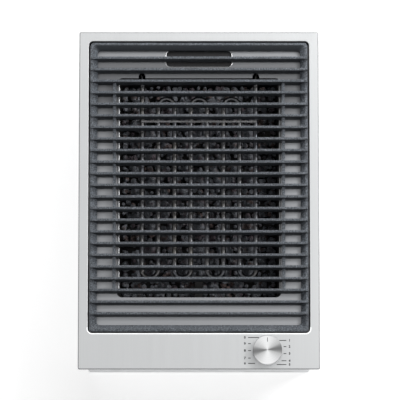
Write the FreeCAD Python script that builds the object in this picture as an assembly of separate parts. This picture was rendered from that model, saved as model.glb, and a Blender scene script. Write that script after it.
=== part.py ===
"""Built-in electric barbecue cooktop with a cast-iron grate over lava stones.

Millimetres, +Z up, +Y to the rear of the worktop. The origin is the centre of the base of the casing.
"""
import FreeCAD, Part
import math
import os
import random

Vec = FreeCAD.Vector
UP = Vec(0, 0, 1)
ALONG_X = Vec(1, 0, 0)
ALONG_Y = Vec(0, 1, 0)

# Play between pieces
REST_GAP = 0.2            # a lift-out piece above its seat
RUNNING_GAP = 0.05        # a shaft in its bore, on the radius
SEAL_GAP = 0.3            # a soft strip beside the sheet that holds it
EYE_PLAY = 0.15           # the eye of a fixed lead round its stud, on the radius
DROP_IN_GAP = 1.5         # a lift-out piece inside the well, each side

# Top plate
PLATE_WIDTH = 360.0
PLATE_LENGTH = 510.0
PLATE_CORNER = 2.5
PLATE_SHEET = 1.0
PLATE_EDGE_ROUND = 0.9
LIP_HEIGHT = 5.0
SIDE_MARGIN = 14.5        # from the edge of the plate to its opening
REAR_MARGIN = 14.0
FRONT_MARGIN = 54.0
OPENING_CORNER = 6.5
OPENING_ROLL_DEPTH = 6.0

# Casing below the worktop
CASING_DEPTH = 150.0
PLATE_OVERLAP = 10.5      # how far the plate stands past the casing on every side
CASING_CORNER = 4.0
CASING_SHEET = 0.8
CASING_FLANGE = 4.5
BASE_FLANGE = 12.0
END_WRAP = 4.5            # how far the front and rear sheets reach round onto the sides
LAP_WIDTH = 15.0          # the tab that a side sheet turns in behind an end sheet
LAP_FOOT = 4.0
LAP_TOP = 100.0
VENT_LENGTH = 32.0
VENT_HEIGHT = 4.0
VENT_PITCH = 44.0
VENTS_PER_SIDE = 4
VENT_LEVEL = 16.0

# Bottom cover
COVER_GAP = 0.4
COVER_SLOTS = 6
COVER_SLOT_LENGTH = 60.0
COVER_SLOT_WIDTH = 5.0
COVER_SLOT_PITCH = 16.0
COVER_SCREW_RADIUS = 1.7
COVER_SCREW_HEAD_RADIUS = 3.2
COVER_SCREW_HEAD = 1.8
COVER_SCREW_LENGTH = 7.0
COVER_SCREW_INSET = 6.0

# Well: a shallow upper pan for the grate and a deep part for the stones
WELL_SHEET = 0.7
WELL_GAP = 0.2
LEDGE_DEPTH = 23.0
LEDGE_SIDE = 41.7         # width of the ledge at the sides, rear and front
LEDGE_REAR = 51.2
LEDGE_FRONT = 53.2
DEEP_CORNER = 12.0
DEEP_FLOOR_ROUND = 6.0
WELL_FLOOR_LEVEL = 60.0

# Lift-out frame on the ledge of the well
FRAME_SHEET = 1.0
FRAME_RISE = 6.0
FRAME_CORNER = 6.0
SKIRT_SIDE_GAP = 1.0      # from the skirt to the wall of the deep part
SKIRT_END_GAP = 2.5
WINDOW_CORNER = 8.0
SKIRT_DEPTH = 22.0
FINGER_SLOT_WIDTH = 99.0
FINGER_SLOT_LENGTH = 24.5
FINGER_SLOT_FROM_WINDOW = 29.5
FINGER_SLOT_CORNER = 6.0
FINGER_SLOT_LIP = 2.5
NOTCH_RADIUS = 5.15
NOTCH_FROM_WINDOW = 2.2

# Cast-iron grate
GRATE_GAP = 2.5
GRATE_CORNER = 5.0
BAR_PITCH = 17.58
FIRST_BAR_FROM_REAR = 23.3
LAST_BAR_FROM_FRONT = 18.0  # the least room in front of the last bar
BAR_TOP_WIDTH = 3.5
BAR_DRAFT = 1.9
BAR_HEIGHT = 18.0
BAR_ABOVE_PLATE = 3.0
BAR_END_ROUND = 2.0
RIM_WIDTH = 10.3
RIM_TOP_WIDTH = 3.5
RIM_BELOW_PLATE = 0.5
RIM_HEIGHT = 14.5
RIM_SLOPE_DROP = 7.0
RIB_FROM_WINDOW = 3.8
RIB_WIDTH = 4.5
RIB_HEIGHT = 12.0
RIB_STOPS_SHORT = 2       # bars that each end of a rib leaves out
FOOT_RADIUS = 5.0
FOOT_INSET = 14.0

# Heating element
TUBE_RADIUS = 4.0
RUN_PITCH = 24.5
RUN_COUNT = 8
RUN_DEPTH = 36.0
REAR_BEND_FROM_WINDOW = 24.7
FRONT_BEND_FROM_WINDOW = 27.7
HINGE_FROM_WALL = 8.3
LEG_BEND_RADIUS = 10.0
JOURNAL_LENGTH = 22.0
TIE_FROM_REAR_BEND = 39.1
TIE_WIDTH = 2.5
TIE_THICKNESS = 1.2
REST_BAR_WIDTH = 8.0
REST_BAR_LENGTH = 62.0
REST_THICKNESS = 1.5
REST_TONGUE_WIDTH = 12.0
REST_TIP_GAP = 0.6
REST_FOOT_LENGTH = 2.0

# Hinge of the element
BUSH_RADIUS = 6.0
BUSH_FLANGE_RISE = 1.5
BUSH_FLANGE = 2.0
BUSH_SLEEVE = 4.0
BRACKET_SHEET = 2.0
BRACKET_HEIGHT = 30.0
BRACKET_FOOT = 16.0
BRACKET_EAR = 10.0
BRACKET_OFFSET = 18.0
RIVET_RADIUS = 1.6
RIVET_HEAD_RADIUS = 3.0
RIVET_HEAD = 1.2
LEG_SLOT_GAP = 1.5
INSULATOR_RADIUS = 5.0
INSULATOR_LENGTH = 4.0
STUD_RADIUS = 2.0
STUD_LENGTH = 9.0
STUD_NUT_WIDTH = 7.0
STUD_NUT_HEIGHT = 2.4

# Lava tray and stones
TRAY_SHEET = 1.0
TRAY_SIDE_GAP = 2.0
TRAY_RIM = 3.0
TRAY_RIM_BELOW_RUNS = 3.0
TRAY_DRAFT = 6.0
TRAY_FOOT_HEIGHT = 5.0
TRAY_FOOT_RADIUS = 9.0
TRAY_CORNER = 9.0
STONE_ROWS = 9
STONE_COLUMNS = 6
STONE_BED_GAP = 1.5
STONE_FLATNESS = 0.98
STONE_GAP = 0.15
STONE_SETTLING_STEPS = 6
STONE_SEED = 7

# Heat shields
SHIELD_SHEET = 0.6
SHIELD_GAP = 12.0
SHIELD_FLANGE = 10.0
SHIELD_TOP_GAP = 8.0

# Control knob and regulator
KNOB_FROM_SIDE = 78.5
KNOB_FROM_FRONT = 27.3
KNOB_RADIUS = 22.0
KNOB_HEIGHT = 19.0
KNOB_LIFT = 1.0
KNOB_WALL = 1.4
KNOB_EDGE_ROUND = 0.8
KNOB_DRAFT = 0.4
CORE_RADIUS = 7.5
CORE_FLANGE_THICKNESS = 3.0
CORE_LENGTH = 15.0
CLIP_RADIUS = 8.4
CLIP_LENGTH = 4.0
CLIP_OPENING = 3.0
SHAFT_RADIUS = 3.0
SHAFT_FLAT = 1.5
SHAFT_TOP_GAP = 4.0
KNOB_SEAL_RADIUS = 12.0
KNOB_SEAL_HEIGHT = 2.6
KNOB_SEAL_LIP = 0.6
KNOB_HOLE_RADIUS = 6.0
REGULATOR_WIDTH = 43.0
REGULATOR_LENGTH = 29.0
REGULATOR_HEIGHT = 40.0
REGULATOR_SHIFT_Y = 1.5
REGULATOR_NECK_RADIUS = 5.0
REGULATOR_NECK = 5.0
BRACKET_DROP = 7.0
BRACKET_PLATE = 1.2
BRACKET_TAB = 9.0
REGULATOR_SCREW_PITCH = 28.0
TAB_WIDTH = 6.3
TAB_THICKNESS = 0.8
TAB_LENGTH = 8.0
TAB_PITCH = 9.0

# Supply side
BLOCK_WIDTH = 44.0
BLOCK_DEPTH = 18.0
BLOCK_HEIGHT = 22.0
BLOCK_X = -30.0
BLOCK_LEVEL = 34.0
BLOCK_WAYS = 3
BLOCK_WAY_PITCH = 13.0
BLOCK_BORE_RADIUS = 2.6
GLAND_X = -95.0
GLAND_LEVEL = 40.0
GLAND_BORE_RADIUS = 5.0
GLAND_THREAD_RADIUS = 8.0
GLAND_BODY_RADIUS = 12.0
GLAND_BODY_LENGTH = 4.0
GLAND_NUT_HEIGHT = 5.0
GLAND_LENGTH = 16.0
EARTH_X = 40.0
EARTH_LEVEL = 30.0
EARTH_STUD_LENGTH = 14.0
CUTOUT_RADIUS = 8.0
CUTOUT_HEIGHT = 9.0
CUTOUT_X = -40.0
CUTOUT_LEVEL = 95.0
CUTOUT_PLATE = 1.0
CUTOUT_PLATE_WIDTH = 32.0
LEAD_RADIUS = 1.6

# Worktop clamps
CLAMP_POCKET_DEPTH = 13.5
CLAMP_POCKET_LENGTH = 48.0
CLAMP_POCKET_BOTTOM = 30.0
CLAMP_POCKET_TOP = 112.0
CLAMP_FROM_END = 79.5
CLAMP_SCREW_RADIUS = 2.5
CLAMP_HUB_RADIUS = 4.5
CLAMP_HUB_HEIGHT = 12.0
CLAMP_ARM_LENGTH = 34.0
CLAMP_ARM_THICKNESS = 3.0
CLAMP_ARM_WIDTH = 9.0
CLAMP_BELOW_TOP = 2.0
CLAMP_HEAD_RADIUS = 4.2
CLAMP_HEAD_HEIGHT = 3.0
CLAMP_NUT_WIDTH = 8.0
CLAMP_NUT_HEIGHT = 4.0

# Levels that follow from the sizes above
PLATE_TOP = CASING_DEPTH + LIP_HEIGHT
PLATE_UNDER = PLATE_TOP - PLATE_SHEET
OPENING_WIDTH = PLATE_WIDTH - 2 * SIDE_MARGIN
OPENING_LENGTH = PLATE_LENGTH - REAR_MARGIN - FRONT_MARGIN
OPENING_MIDDLE_Y = (FRONT_MARGIN - REAR_MARGIN) / 2
CASING_WIDTH = PLATE_WIDTH - 2 * PLATE_OVERLAP
CASING_LENGTH = PLATE_LENGTH - 2 * PLATE_OVERLAP
LEDGE_TOP = PLATE_TOP - LEDGE_DEPTH
FRAME_BOTTOM = LEDGE_TOP + REST_GAP
FRAME_TOP = FRAME_BOTTOM + FRAME_RISE
SKIRT_BOTTOM = FRAME_TOP - SKIRT_DEPTH
RUN_LEVEL = PLATE_TOP - RUN_DEPTH
WELL_FLOOR_TOP = WELL_FLOOR_LEVEL + WELL_SHEET
TRAY_RIM_TOP = RUN_LEVEL - TUBE_RADIUS - TRAY_RIM_BELOW_RUNS
TRAY_FLOOR = WELL_FLOOR_TOP + TRAY_FOOT_HEIGHT
BAR_TOP = PLATE_TOP + BAR_ABOVE_PLATE
BAR_BOTTOM = BAR_TOP - BAR_HEIGHT
RIM_TOP = PLATE_TOP - RIM_BELOW_PLATE
RIM_BOTTOM = RIM_TOP - RIM_HEIGHT
GRATE_WIDTH = OPENING_WIDTH - 2 * GRATE_GAP
GRATE_LENGTH = OPENING_LENGTH - 2 * GRATE_GAP
WELL_WIDTH = OPENING_WIDTH + 2 * (PLATE_SHEET + WELL_GAP)
WELL_LENGTH = OPENING_LENGTH + 2 * (PLATE_SHEET + WELL_GAP)
WELL_CORNER = OPENING_CORNER + PLATE_SHEET + WELL_GAP
DEEP_WIDTH = WELL_WIDTH - 2 * LEDGE_SIDE
DEEP_LENGTH = WELL_LENGTH - LEDGE_REAR - LEDGE_FRONT
DEEP_MIDDLE_Y = OPENING_MIDDLE_Y + (LEDGE_FRONT - LEDGE_REAR) / 2
WINDOW_WIDTH = DEEP_WIDTH - 2 * (FRAME_SHEET + SKIRT_SIDE_GAP)
WINDOW_LENGTH = DEEP_LENGTH - 2 * (FRAME_SHEET + SKIRT_END_GAP)
WINDOW_MIDDLE_Y = DEEP_MIDDLE_Y
WINDOW_REAR = WINDOW_MIDDLE_Y + WINDOW_LENGTH / 2
WINDOW_FRONT = WINDOW_MIDDLE_Y - WINDOW_LENGTH / 2
FINGER_SLOT_MIDDLE_Y = WINDOW_REAR + FINGER_SLOT_FROM_WINDOW
NOTCH_MIDDLE_Y = WINDOW_REAR + NOTCH_FROM_WINDOW
FIRST_BAR_Y = OPENING_MIDDLE_Y + GRATE_LENGTH / 2 - FIRST_BAR_FROM_REAR
BAR_COUNT = 1 + int((GRATE_LENGTH - FIRST_BAR_FROM_REAR - LAST_BAR_FROM_FRONT) / BAR_PITCH)
RIB_X = WINDOW_WIDTH / 2 + RIB_FROM_WINDOW
REAR_BEND_END_Y = WINDOW_REAR - REAR_BEND_FROM_WINDOW
FRONT_BEND_END_Y = WINDOW_FRONT + FRONT_BEND_FROM_WINDOW
TIE_Y = REAR_BEND_END_Y - TIE_FROM_REAR_BEND
DEEP_REAR = DEEP_MIDDLE_Y + DEEP_LENGTH / 2
DEEP_FRONT = DEEP_MIDDLE_Y - DEEP_LENGTH / 2
WALL_REAR_OUTSIDE = DEEP_REAR + WELL_SHEET
HINGE_Y = WALL_REAR_OUTSIDE + HINGE_FROM_WALL
WALL_FRONT_OUTSIDE = DEEP_FRONT - WELL_SHEET
DEEP_HALF_OUTSIDE = DEEP_WIDTH / 2 + WELL_SHEET
CASING_HALF = CASING_WIDTH / 2
CASING_HALF_LENGTH = CASING_LENGTH / 2
CASING_INSIDE_REAR = CASING_HALF_LENGTH - CASING_SHEET
OUTER_RUN_X = RUN_PITCH * (RUN_COUNT - 1) / 2
JOURNAL_END_X = OUTER_RUN_X + LEG_BEND_RADIUS + JOURNAL_LENGTH
STUD_EYE_X = JOURNAL_END_X + INSULATOR_LENGTH + 2.2
CLAMP_AXIS_X = CASING_HALF - CLAMP_POCKET_DEPTH / 2
CLAMP_AXIS_Y = CASING_HALF_LENGTH - CLAMP_FROM_END
KNOB_X = PLATE_WIDTH / 2 - KNOB_FROM_SIDE
KNOB_Y = KNOB_FROM_FRONT - PLATE_LENGTH / 2
CLAMP_HUB_TOP = CLAMP_POCKET_TOP - CASING_SHEET - CLAMP_BELOW_TOP
KNOB_BASE = PLATE_TOP + KNOB_LIFT
KNOB_TOP = KNOB_BASE + KNOB_HEIGHT
REGULATOR_TOP = PLATE_UNDER - BRACKET_DROP - BRACKET_PLATE
REGULATOR_BOTTOM = REGULATOR_TOP - REGULATOR_HEIGHT
REGULATOR_Y = KNOB_Y + REGULATOR_SHIFT_Y


def block(x0, x1, y0, y1, z0, z1):
    """A block between two corners."""
    return Part.makeBox(x1 - x0, y1 - y0, z1 - z0, Vec(x0, y0, z0))


def centred_block(width, length, z0, z1, middle_x=0.0, middle_y=0.0):
    """A block by its width in X, length in Y, levels and middle."""
    return block(middle_x - width / 2, middle_x + width / 2, middle_y - length / 2, middle_y + length / 2, z0, z1)


def rod(radius, start, end):
    """A round rod between two points."""
    return Part.makeCylinder(radius, start.distanceToPoint(end), start, end - start)


def tube(outer, inner, start, end):
    """A round tube between two points."""
    return rod(outer, start, end).cut(rod(inner, start, end))


def hexagon(across_flats, height, foot, axis):
    """A hexagonal prism that stands on a point along an axis."""
    radius = across_flats / math.sqrt(3)
    side = axis.cross(UP) if axis.cross(UP).Length > 0.1 else ALONG_X
    side.normalize()
    other = axis.cross(side)
    points = []
    for k in range(7):
        turn = math.radians(60 * k)
        points.append(foot + side * (radius * math.cos(turn)) + other * (radius * math.sin(turn)))
    return Part.Face(Part.makePolygon(points)).extrude(axis * height)


def rounded_outline(width, length, radius, level, middle_y=0.0, middle_x=0.0):
    """The wire of a rectangle with round corners."""
    x, y = width / 2, length / 2
    corners = ((x - radius, y - radius, 0), (radius - x, y - radius, 90),
               (radius - x, radius - y, 180), (x - radius, radius - y, 270))
    edges = []
    ends = []
    for cx, cy, start in corners:
        centre = Vec(middle_x + cx, middle_y + cy, level)
        arc = Part.Arc(*[centre + Vec(radius * math.cos(math.radians(start + a)),
                                      radius * math.sin(math.radians(start + a)), 0) for a in (0, 45, 90)])
        edges.append(arc.toShape())
        ends.append((arc.StartPoint, arc.EndPoint))
    for k in range(4):
        edges.append(Part.LineSegment(ends[k][1], ends[(k + 1) % 4][0]).toShape())
    return Part.Wire(Part.__sortEdges__(edges))


def rounded_block(width, length, radius, z0, z1, middle_y=0.0, middle_x=0.0):
    """A block with round upright edges."""
    outline = rounded_outline(width, length, radius, z0, middle_y, middle_x)
    return Part.Face(outline).extrude(UP * (z1 - z0))


def tapered_block(bottom, top, radius, z0, z1, middle_y=0.0):
    """A block with round upright edges that grows from its bottom size to its top size."""
    low = rounded_outline(bottom[0], bottom[1], radius, z0, middle_y)
    high = rounded_outline(top[0], top[1], radius, z1, middle_y)
    return Part.makeLoft([low, high], True, True)


def ring(width, length, radius, wall, z0, z1, middle_y=0.0):
    """An upright wall round a rectangle whose inside has the given size."""
    outside = rounded_block(width + 2 * wall, length + 2 * wall, radius + wall, z0, z1, middle_y)
    return outside.cut(rounded_block(width, length, radius, z0, z1, middle_y))


def rounded_on(shape, radius, wanted):
    """The shape with the edges rounded whose middle passes a test."""
    edges = [edge for edge in shape.Edges if wanted(edge.CenterOfMass)]
    return shape.makeFillet(radius, edges)


def unite(shapes):
    """One solid from shapes that touch."""
    whole = shapes[0].fuse(shapes[1:]) if len(shapes) > 1 else shapes[0]
    return whole.removeSplitter()


def mirrored(shape):
    """The shape on the other side of the middle plane of the appliance."""
    return shape.mirror(Vec(0, 0, 0), ALONG_X)


def both_sides(shape):
    """A shape and its mirror image, kept as two solids."""
    return Part.Compound([shape, mirrored(shape)])


def bent_path(points, radius=None):
    """A wire of straight runs joined by tangent arcs, each as large as its runs allow or as given."""
    edges = []
    start = points[0]
    for before, corner, after in zip(points, points[1:], points[2:]):
        arrive = corner - before
        leave = after - corner
        shorter = min(arrive.Length, leave.Length)
        arrive.normalize()
        leave.normalize()
        half_turn = arrive.getAngle(leave) / 2
        bend = radius if radius else 0.45 * shorter / math.tan(half_turn)
        setback = bend * math.tan(half_turn)
        first = corner - arrive * setback
        last = corner + leave * setback
        inward = leave - arrive
        inward.normalize()
        centre = corner + inward * (bend / math.cos(half_turn))
        edges.append(Part.LineSegment(start, first).toShape())
        edges.append(Part.Arc(first, centre - inward * bend, last).toShape())
        start = last
    edges.append(Part.LineSegment(start, points[-1]).toShape())
    return Part.Wire(edges)


def swept_tube(path, radius):
    """A round tube along a path."""
    first = path.OrderedEdges[0]
    start = first.valueAt(first.FirstParameter)
    along = first.tangentAt(first.FirstParameter)
    section = Part.Wire([Part.Circle(start, along, radius).toShape()])
    return path.makePipeShell([section], True, False)


def top_plate():
    """The stainless plate with its turned-down lip, rolled opening and knob hole."""
    body = rounded_block(PLATE_WIDTH, PLATE_LENGTH, PLATE_CORNER, CASING_DEPTH, PLATE_TOP)
    body = rounded_on(body, PLATE_EDGE_ROUND, lambda p: p.z > PLATE_TOP - 0.01 and abs(p.x) + abs(p.y) > 1)
    inside = rounded_block(PLATE_WIDTH - 2 * PLATE_SHEET, PLATE_LENGTH - 2 * PLATE_SHEET,
                           PLATE_CORNER - PLATE_SHEET, CASING_DEPTH, PLATE_UNDER)
    roll = rounded_block(OPENING_WIDTH + 2 * PLATE_SHEET, OPENING_LENGTH + 2 * PLATE_SHEET,
                         OPENING_CORNER + PLATE_SHEET, PLATE_TOP - OPENING_ROLL_DEPTH, PLATE_TOP, OPENING_MIDDLE_Y)
    body = body.cut(inside).fuse(roll)
    opening = rounded_block(OPENING_WIDTH, OPENING_LENGTH, OPENING_CORNER,
                            PLATE_TOP - OPENING_ROLL_DEPTH, PLATE_TOP, OPENING_MIDDLE_Y)
    body = body.cut(opening).removeSplitter()
    half = OPENING_LENGTH / 2
    body = rounded_on(body, PLATE_EDGE_ROUND, lambda p: p.z > PLATE_TOP - 0.01
                      and abs(p.x) < OPENING_WIDTH / 2 + 0.01 and abs(p.y - OPENING_MIDDLE_Y) < half + 0.01)
    foot = Vec(KNOB_X, KNOB_Y, PLATE_UNDER)
    return body.cut(rod(KNOB_HOLE_RADIUS, foot, foot + UP * PLATE_SHEET))


def worktop_seal():
    """The foam strip under the lip that the worktop presses."""
    inside_width = CASING_WIDTH + 2 * (CASING_FLANGE + SEAL_GAP)
    inside_length = CASING_LENGTH + 2 * (CASING_FLANGE + SEAL_GAP)
    wall = (PLATE_WIDTH - 2 * PLATE_SHEET - inside_width) / 2 - SEAL_GAP
    return ring(inside_width, inside_length, PLATE_CORNER, wall, CASING_DEPTH, PLATE_UNDER)


def leg_slots(wall_y, top):
    """The slots that let the two legs of the element pass the rear wall of the well and swing up."""
    half = TUBE_RADIUS + LEG_SLOT_GAP
    low = RUN_LEVEL - half
    slot = block(OUTER_RUN_X - half, OUTER_RUN_X + half, wall_y - WELL_SHEET - 1, HINGE_Y - LEG_SLOT_GAP, low, top)
    return both_sides(slot)


def well():
    """The stainless tub: top flange, upper pan with the ledge, deep part with a rounded floor."""
    pan = rounded_block(WELL_WIDTH + 2 * WELL_SHEET, WELL_LENGTH + 2 * WELL_SHEET, WELL_CORNER + WELL_SHEET,
                        LEDGE_TOP - WELL_SHEET, PLATE_UNDER, OPENING_MIDDLE_Y)
    flange = rounded_block(CASING_WIDTH + 2 * CASING_FLANGE, CASING_LENGTH + 2 * CASING_FLANGE, CASING_CORNER,
                           PLATE_UNDER - WELL_SHEET, PLATE_UNDER)
    deep = rounded_block(DEEP_WIDTH + 2 * WELL_SHEET, DEEP_LENGTH + 2 * WELL_SHEET, DEEP_CORNER + WELL_SHEET,
                         WELL_FLOOR_LEVEL, LEDGE_TOP, DEEP_MIDDLE_Y)
    deep = rounded_on(deep, DEEP_FLOOR_ROUND + WELL_SHEET, lambda p: p.z < WELL_FLOOR_LEVEL + 0.01)
    inside_deep = rounded_block(DEEP_WIDTH, DEEP_LENGTH, DEEP_CORNER, WELL_FLOOR_TOP, LEDGE_TOP, DEEP_MIDDLE_Y)
    inside_deep = rounded_on(inside_deep, DEEP_FLOOR_ROUND, lambda p: p.z < WELL_FLOOR_TOP + 0.01)
    inside_pan = rounded_block(WELL_WIDTH, WELL_LENGTH, WELL_CORNER, LEDGE_TOP, PLATE_UNDER, OPENING_MIDDLE_Y)
    body = pan.fuse([flange, deep]).cut(Part.Compound([inside_pan]))
    body = body.cut(inside_deep).cut(leg_slots(DEEP_REAR, LEDGE_TOP))
    foot = Vec(KNOB_X, KNOB_Y, PLATE_UNDER - WELL_SHEET)
    half_x = REGULATOR_WIDTH / 2 + BRACKET_TAB + 1
    window = block(foot.x - half_x, foot.x + half_x, -CASING_INSIDE_REAR, OPENING_MIDDLE_Y - WELL_LENGTH / 2 - 2 * WELL_SHEET,
                   foot.z, PLATE_UNDER)
    return body.cut(window).removeSplitter()


def clamp_pocket(grow):
    """The recess in the right side of the casing that the front clamp folds into, grown by a wall."""
    y0 = -CLAMP_AXIS_Y - CLAMP_HUB_RADIUS - 2.5
    return block(CASING_HALF - CLAMP_POCKET_DEPTH - grow, CASING_HALF, y0 - grow, y0 + CLAMP_POCKET_LENGTH + grow,
                 CLAMP_POCKET_BOTTOM - grow, CLAMP_POCKET_TOP + grow)


def four_corners(shape):
    """A shape at the front right and its three mirror images."""
    rear = shape.mirror(Vec(0, 0, 0), ALONG_Y)
    return [shape, mirrored(shape), rear, mirrored(rear)]


def side_vents():
    """The vent slots low in both long sides of the casing."""
    slots = []
    for k in range(VENTS_PER_SIDE):
        y = (k - (VENTS_PER_SIDE - 1) / 2) * VENT_PITCH
        slots.append(centred_block(CASING_WIDTH + 2, VENT_LENGTH, VENT_LEVEL, VENT_LEVEL + VENT_HEIGHT, 0, y))
    return slots


def casing_shell():
    """The whole shell with its top flange, base flange, clamp pockets, vents and gland hole."""
    top = PLATE_UNDER - WELL_SHEET
    inside_width = CASING_WIDTH - 2 * CASING_SHEET
    inside_length = CASING_LENGTH - 2 * CASING_SHEET
    wall = ring(inside_width, inside_length, CASING_CORNER - CASING_SHEET, CASING_SHEET, 0, top)
    flange = ring(CASING_WIDTH, CASING_LENGTH, CASING_CORNER, CASING_FLANGE, top - CASING_SHEET, top)
    base = ring(inside_width - 2 * BASE_FLANGE, inside_length - 2 * BASE_FLANGE, CASING_CORNER, BASE_FLANGE,
                0, CASING_SHEET)
    body = wall.fuse([flange, base])
    body = body.fuse(four_corners(clamp_pocket(CASING_SHEET)))
    body = body.cut(four_corners(clamp_pocket(0)))
    body = body.cut(side_vents())
    hole = Vec(GLAND_X, CASING_HALF_LENGTH + 1, GLAND_LEVEL)
    body = body.cut(rod(GLAND_THREAD_RADIUS + 0.1, hole, hole - ALONG_Y * 4))
    for x, y in cover_screw_places():
        body = body.cut(rod(COVER_SCREW_RADIUS, Vec(x, y, 0), Vec(x, y, CASING_SHEET)))
    for axis in clamp_axes():
        body = body.cut(rod(CLAMP_SCREW_RADIUS, Vec(axis.x, axis.y, CLAMP_POCKET_BOTTOM - CASING_SHEET),
                            Vec(axis.x, axis.y, CLAMP_POCKET_TOP + CASING_SHEET)))
    return body.removeSplitter()


def end_region(facing):
    """The space of the front (facing -1) or rear (facing 1) sheet, mitred across the corners of the base flange."""
    seam = facing * (CASING_HALF_LENGTH - END_WRAP)
    beyond = facing * CASING_LENGTH
    inner_x = CASING_HALF - CASING_SHEET - BASE_FLANGE
    inner_y = facing * (CASING_HALF_LENGTH - CASING_SHEET - BASE_FLANGE)
    corners = [Vec(-CASING_WIDTH, beyond, 0), Vec(-CASING_WIDTH, seam, 0), Vec(-CASING_HALF, seam, 0),
               Vec(-inner_x, inner_y, 0), Vec(inner_x, inner_y, 0), Vec(CASING_HALF, seam, 0),
               Vec(CASING_WIDTH, seam, 0), Vec(CASING_WIDTH, beyond, 0)]
    return Part.Face(Part.makePolygon(corners + corners[:1])).extrude(UP * CASING_DEPTH * 2)


def casing_side(shell):
    """The right side sheet, between the end sheets, with a lap tab turned in behind each of them."""
    sheet = shell.common(block(0, CASING_WIDTH, -CASING_LENGTH, CASING_LENGTH, 0, CASING_DEPTH * 2))
    sheet = sheet.cut([end_region(-1), end_region(1)])
    lining = ring(CASING_WIDTH - 4 * CASING_SHEET, CASING_LENGTH - 4 * CASING_SHEET, CASING_CORNER - 2 * CASING_SHEET,
                  CASING_SHEET, LAP_FOOT, LAP_TOP)
    tab = lining.common(block(CASING_HALF - LAP_WIDTH, CASING_HALF, CASING_HALF_LENGTH - 2 * END_WRAP,
                              CASING_HALF_LENGTH, LAP_FOOT, LAP_TOP))
    return sheet.fuse([tab, tab.mirror(Vec(0, 0, 0), ALONG_Y)]).removeSplitter()


def casing_end(shell, facing):
    """The front sheet (facing -1) or the rear sheet (facing 1), with the rounded corners of the casing."""
    return shell.common(end_region(facing)).removeSplitter()


def cover_screw_places():
    """Where the screws of the bottom cover stand."""
    x = CASING_HALF - CASING_SHEET - COVER_SCREW_INSET
    y = CASING_INSIDE_REAR - COVER_SCREW_INSET
    return [(sx * x, sy * y) for sx in (-1, 1) for sy in (-1, 0, 1)]


def bottom_cover():
    """The removable base sheet on the inside of the base flange, with rows of vent slots."""
    width = CASING_WIDTH - 2 * CASING_SHEET - 2 * COVER_GAP
    length = CASING_LENGTH - 2 * CASING_SHEET - 2 * COVER_GAP
    body = rounded_block(width, length, CASING_CORNER, CASING_SHEET, 2 * CASING_SHEET)
    for k in range(COVER_SLOTS):
        y = (k - (COVER_SLOTS - 1) / 2) * COVER_SLOT_PITCH
        for x in (-width / 4, width / 4):
            slot = rounded_block(COVER_SLOT_LENGTH, COVER_SLOT_WIDTH, COVER_SLOT_WIDTH / 2 - 0.01,
                                 CASING_SHEET, 2 * CASING_SHEET, y, x)
            body = body.cut(slot)
    for x, y in cover_screw_places():
        body = body.cut(rod(COVER_SCREW_RADIUS, Vec(x, y, CASING_SHEET), Vec(x, y, 2 * CASING_SHEET)))
    return body


def bottom_cover_screws():
    """Six pan-head screws whose heads lie on the cover."""
    screws = []
    for x, y in cover_screw_places():
        shank = rod(COVER_SCREW_RADIUS, Vec(x, y, 0), Vec(x, y, 2 * CASING_SHEET))
        head = rod(COVER_SCREW_HEAD_RADIUS, Vec(x, y, 2 * CASING_SHEET), Vec(x, y, 2 * CASING_SHEET + COVER_SCREW_HEAD))
        screws.append(unite([shank, head]))
    return Part.Compound(screws)


def side_heat_shield():
    """The right heat shield: an upright sheet with a foot flange and a top flange towards the well."""
    x = DEEP_HALF_OUTSIDE + SHIELD_GAP
    y0 = DEEP_FRONT + DEEP_CORNER
    y1 = DEEP_REAR - DEEP_CORNER
    top = LEDGE_TOP - WELL_SHEET
    bottom = 2 * CASING_SHEET
    points = [Vec(x - SHIELD_FLANGE, y0, top), Vec(x + SHIELD_SHEET, y0, top), Vec(x + SHIELD_SHEET, y0, bottom + SHIELD_SHEET),
              Vec(x + SHIELD_FLANGE, y0, bottom + SHIELD_SHEET), Vec(x + SHIELD_FLANGE, y0, bottom), Vec(x, y0, bottom),
              Vec(x, y0, top - SHIELD_SHEET), Vec(x - SHIELD_FLANGE, y0, top - SHIELD_SHEET)]
    return Part.Face(Part.makePolygon(points + points[:1])).extrude(ALONG_Y * (y1 - y0))


def front_heat_shield():
    """The sheet between the hot well and the control compartment, hung from the ledge."""
    y = WALL_FRONT_OUTSIDE - SHIELD_GAP
    top = LEDGE_TOP - WELL_SHEET
    bottom = WELL_FLOOR_LEVEL - SHIELD_GAP
    x0 = -DEEP_WIDTH / 2
    points = [Vec(x0, y + SHIELD_FLANGE, top), Vec(x0, y - SHIELD_SHEET, top), Vec(x0, y - SHIELD_SHEET, bottom),
              Vec(x0, y + SHIELD_FLANGE, bottom), Vec(x0, y + SHIELD_FLANGE, bottom + SHIELD_SHEET),
              Vec(x0, y, bottom + SHIELD_SHEET), Vec(x0, y, top - SHIELD_SHEET), Vec(x0, y + SHIELD_FLANGE, top - SHIELD_SHEET)]
    return Part.Face(Part.makePolygon(points + points[:1])).extrude(ALONG_X * DEEP_WIDTH)


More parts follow.
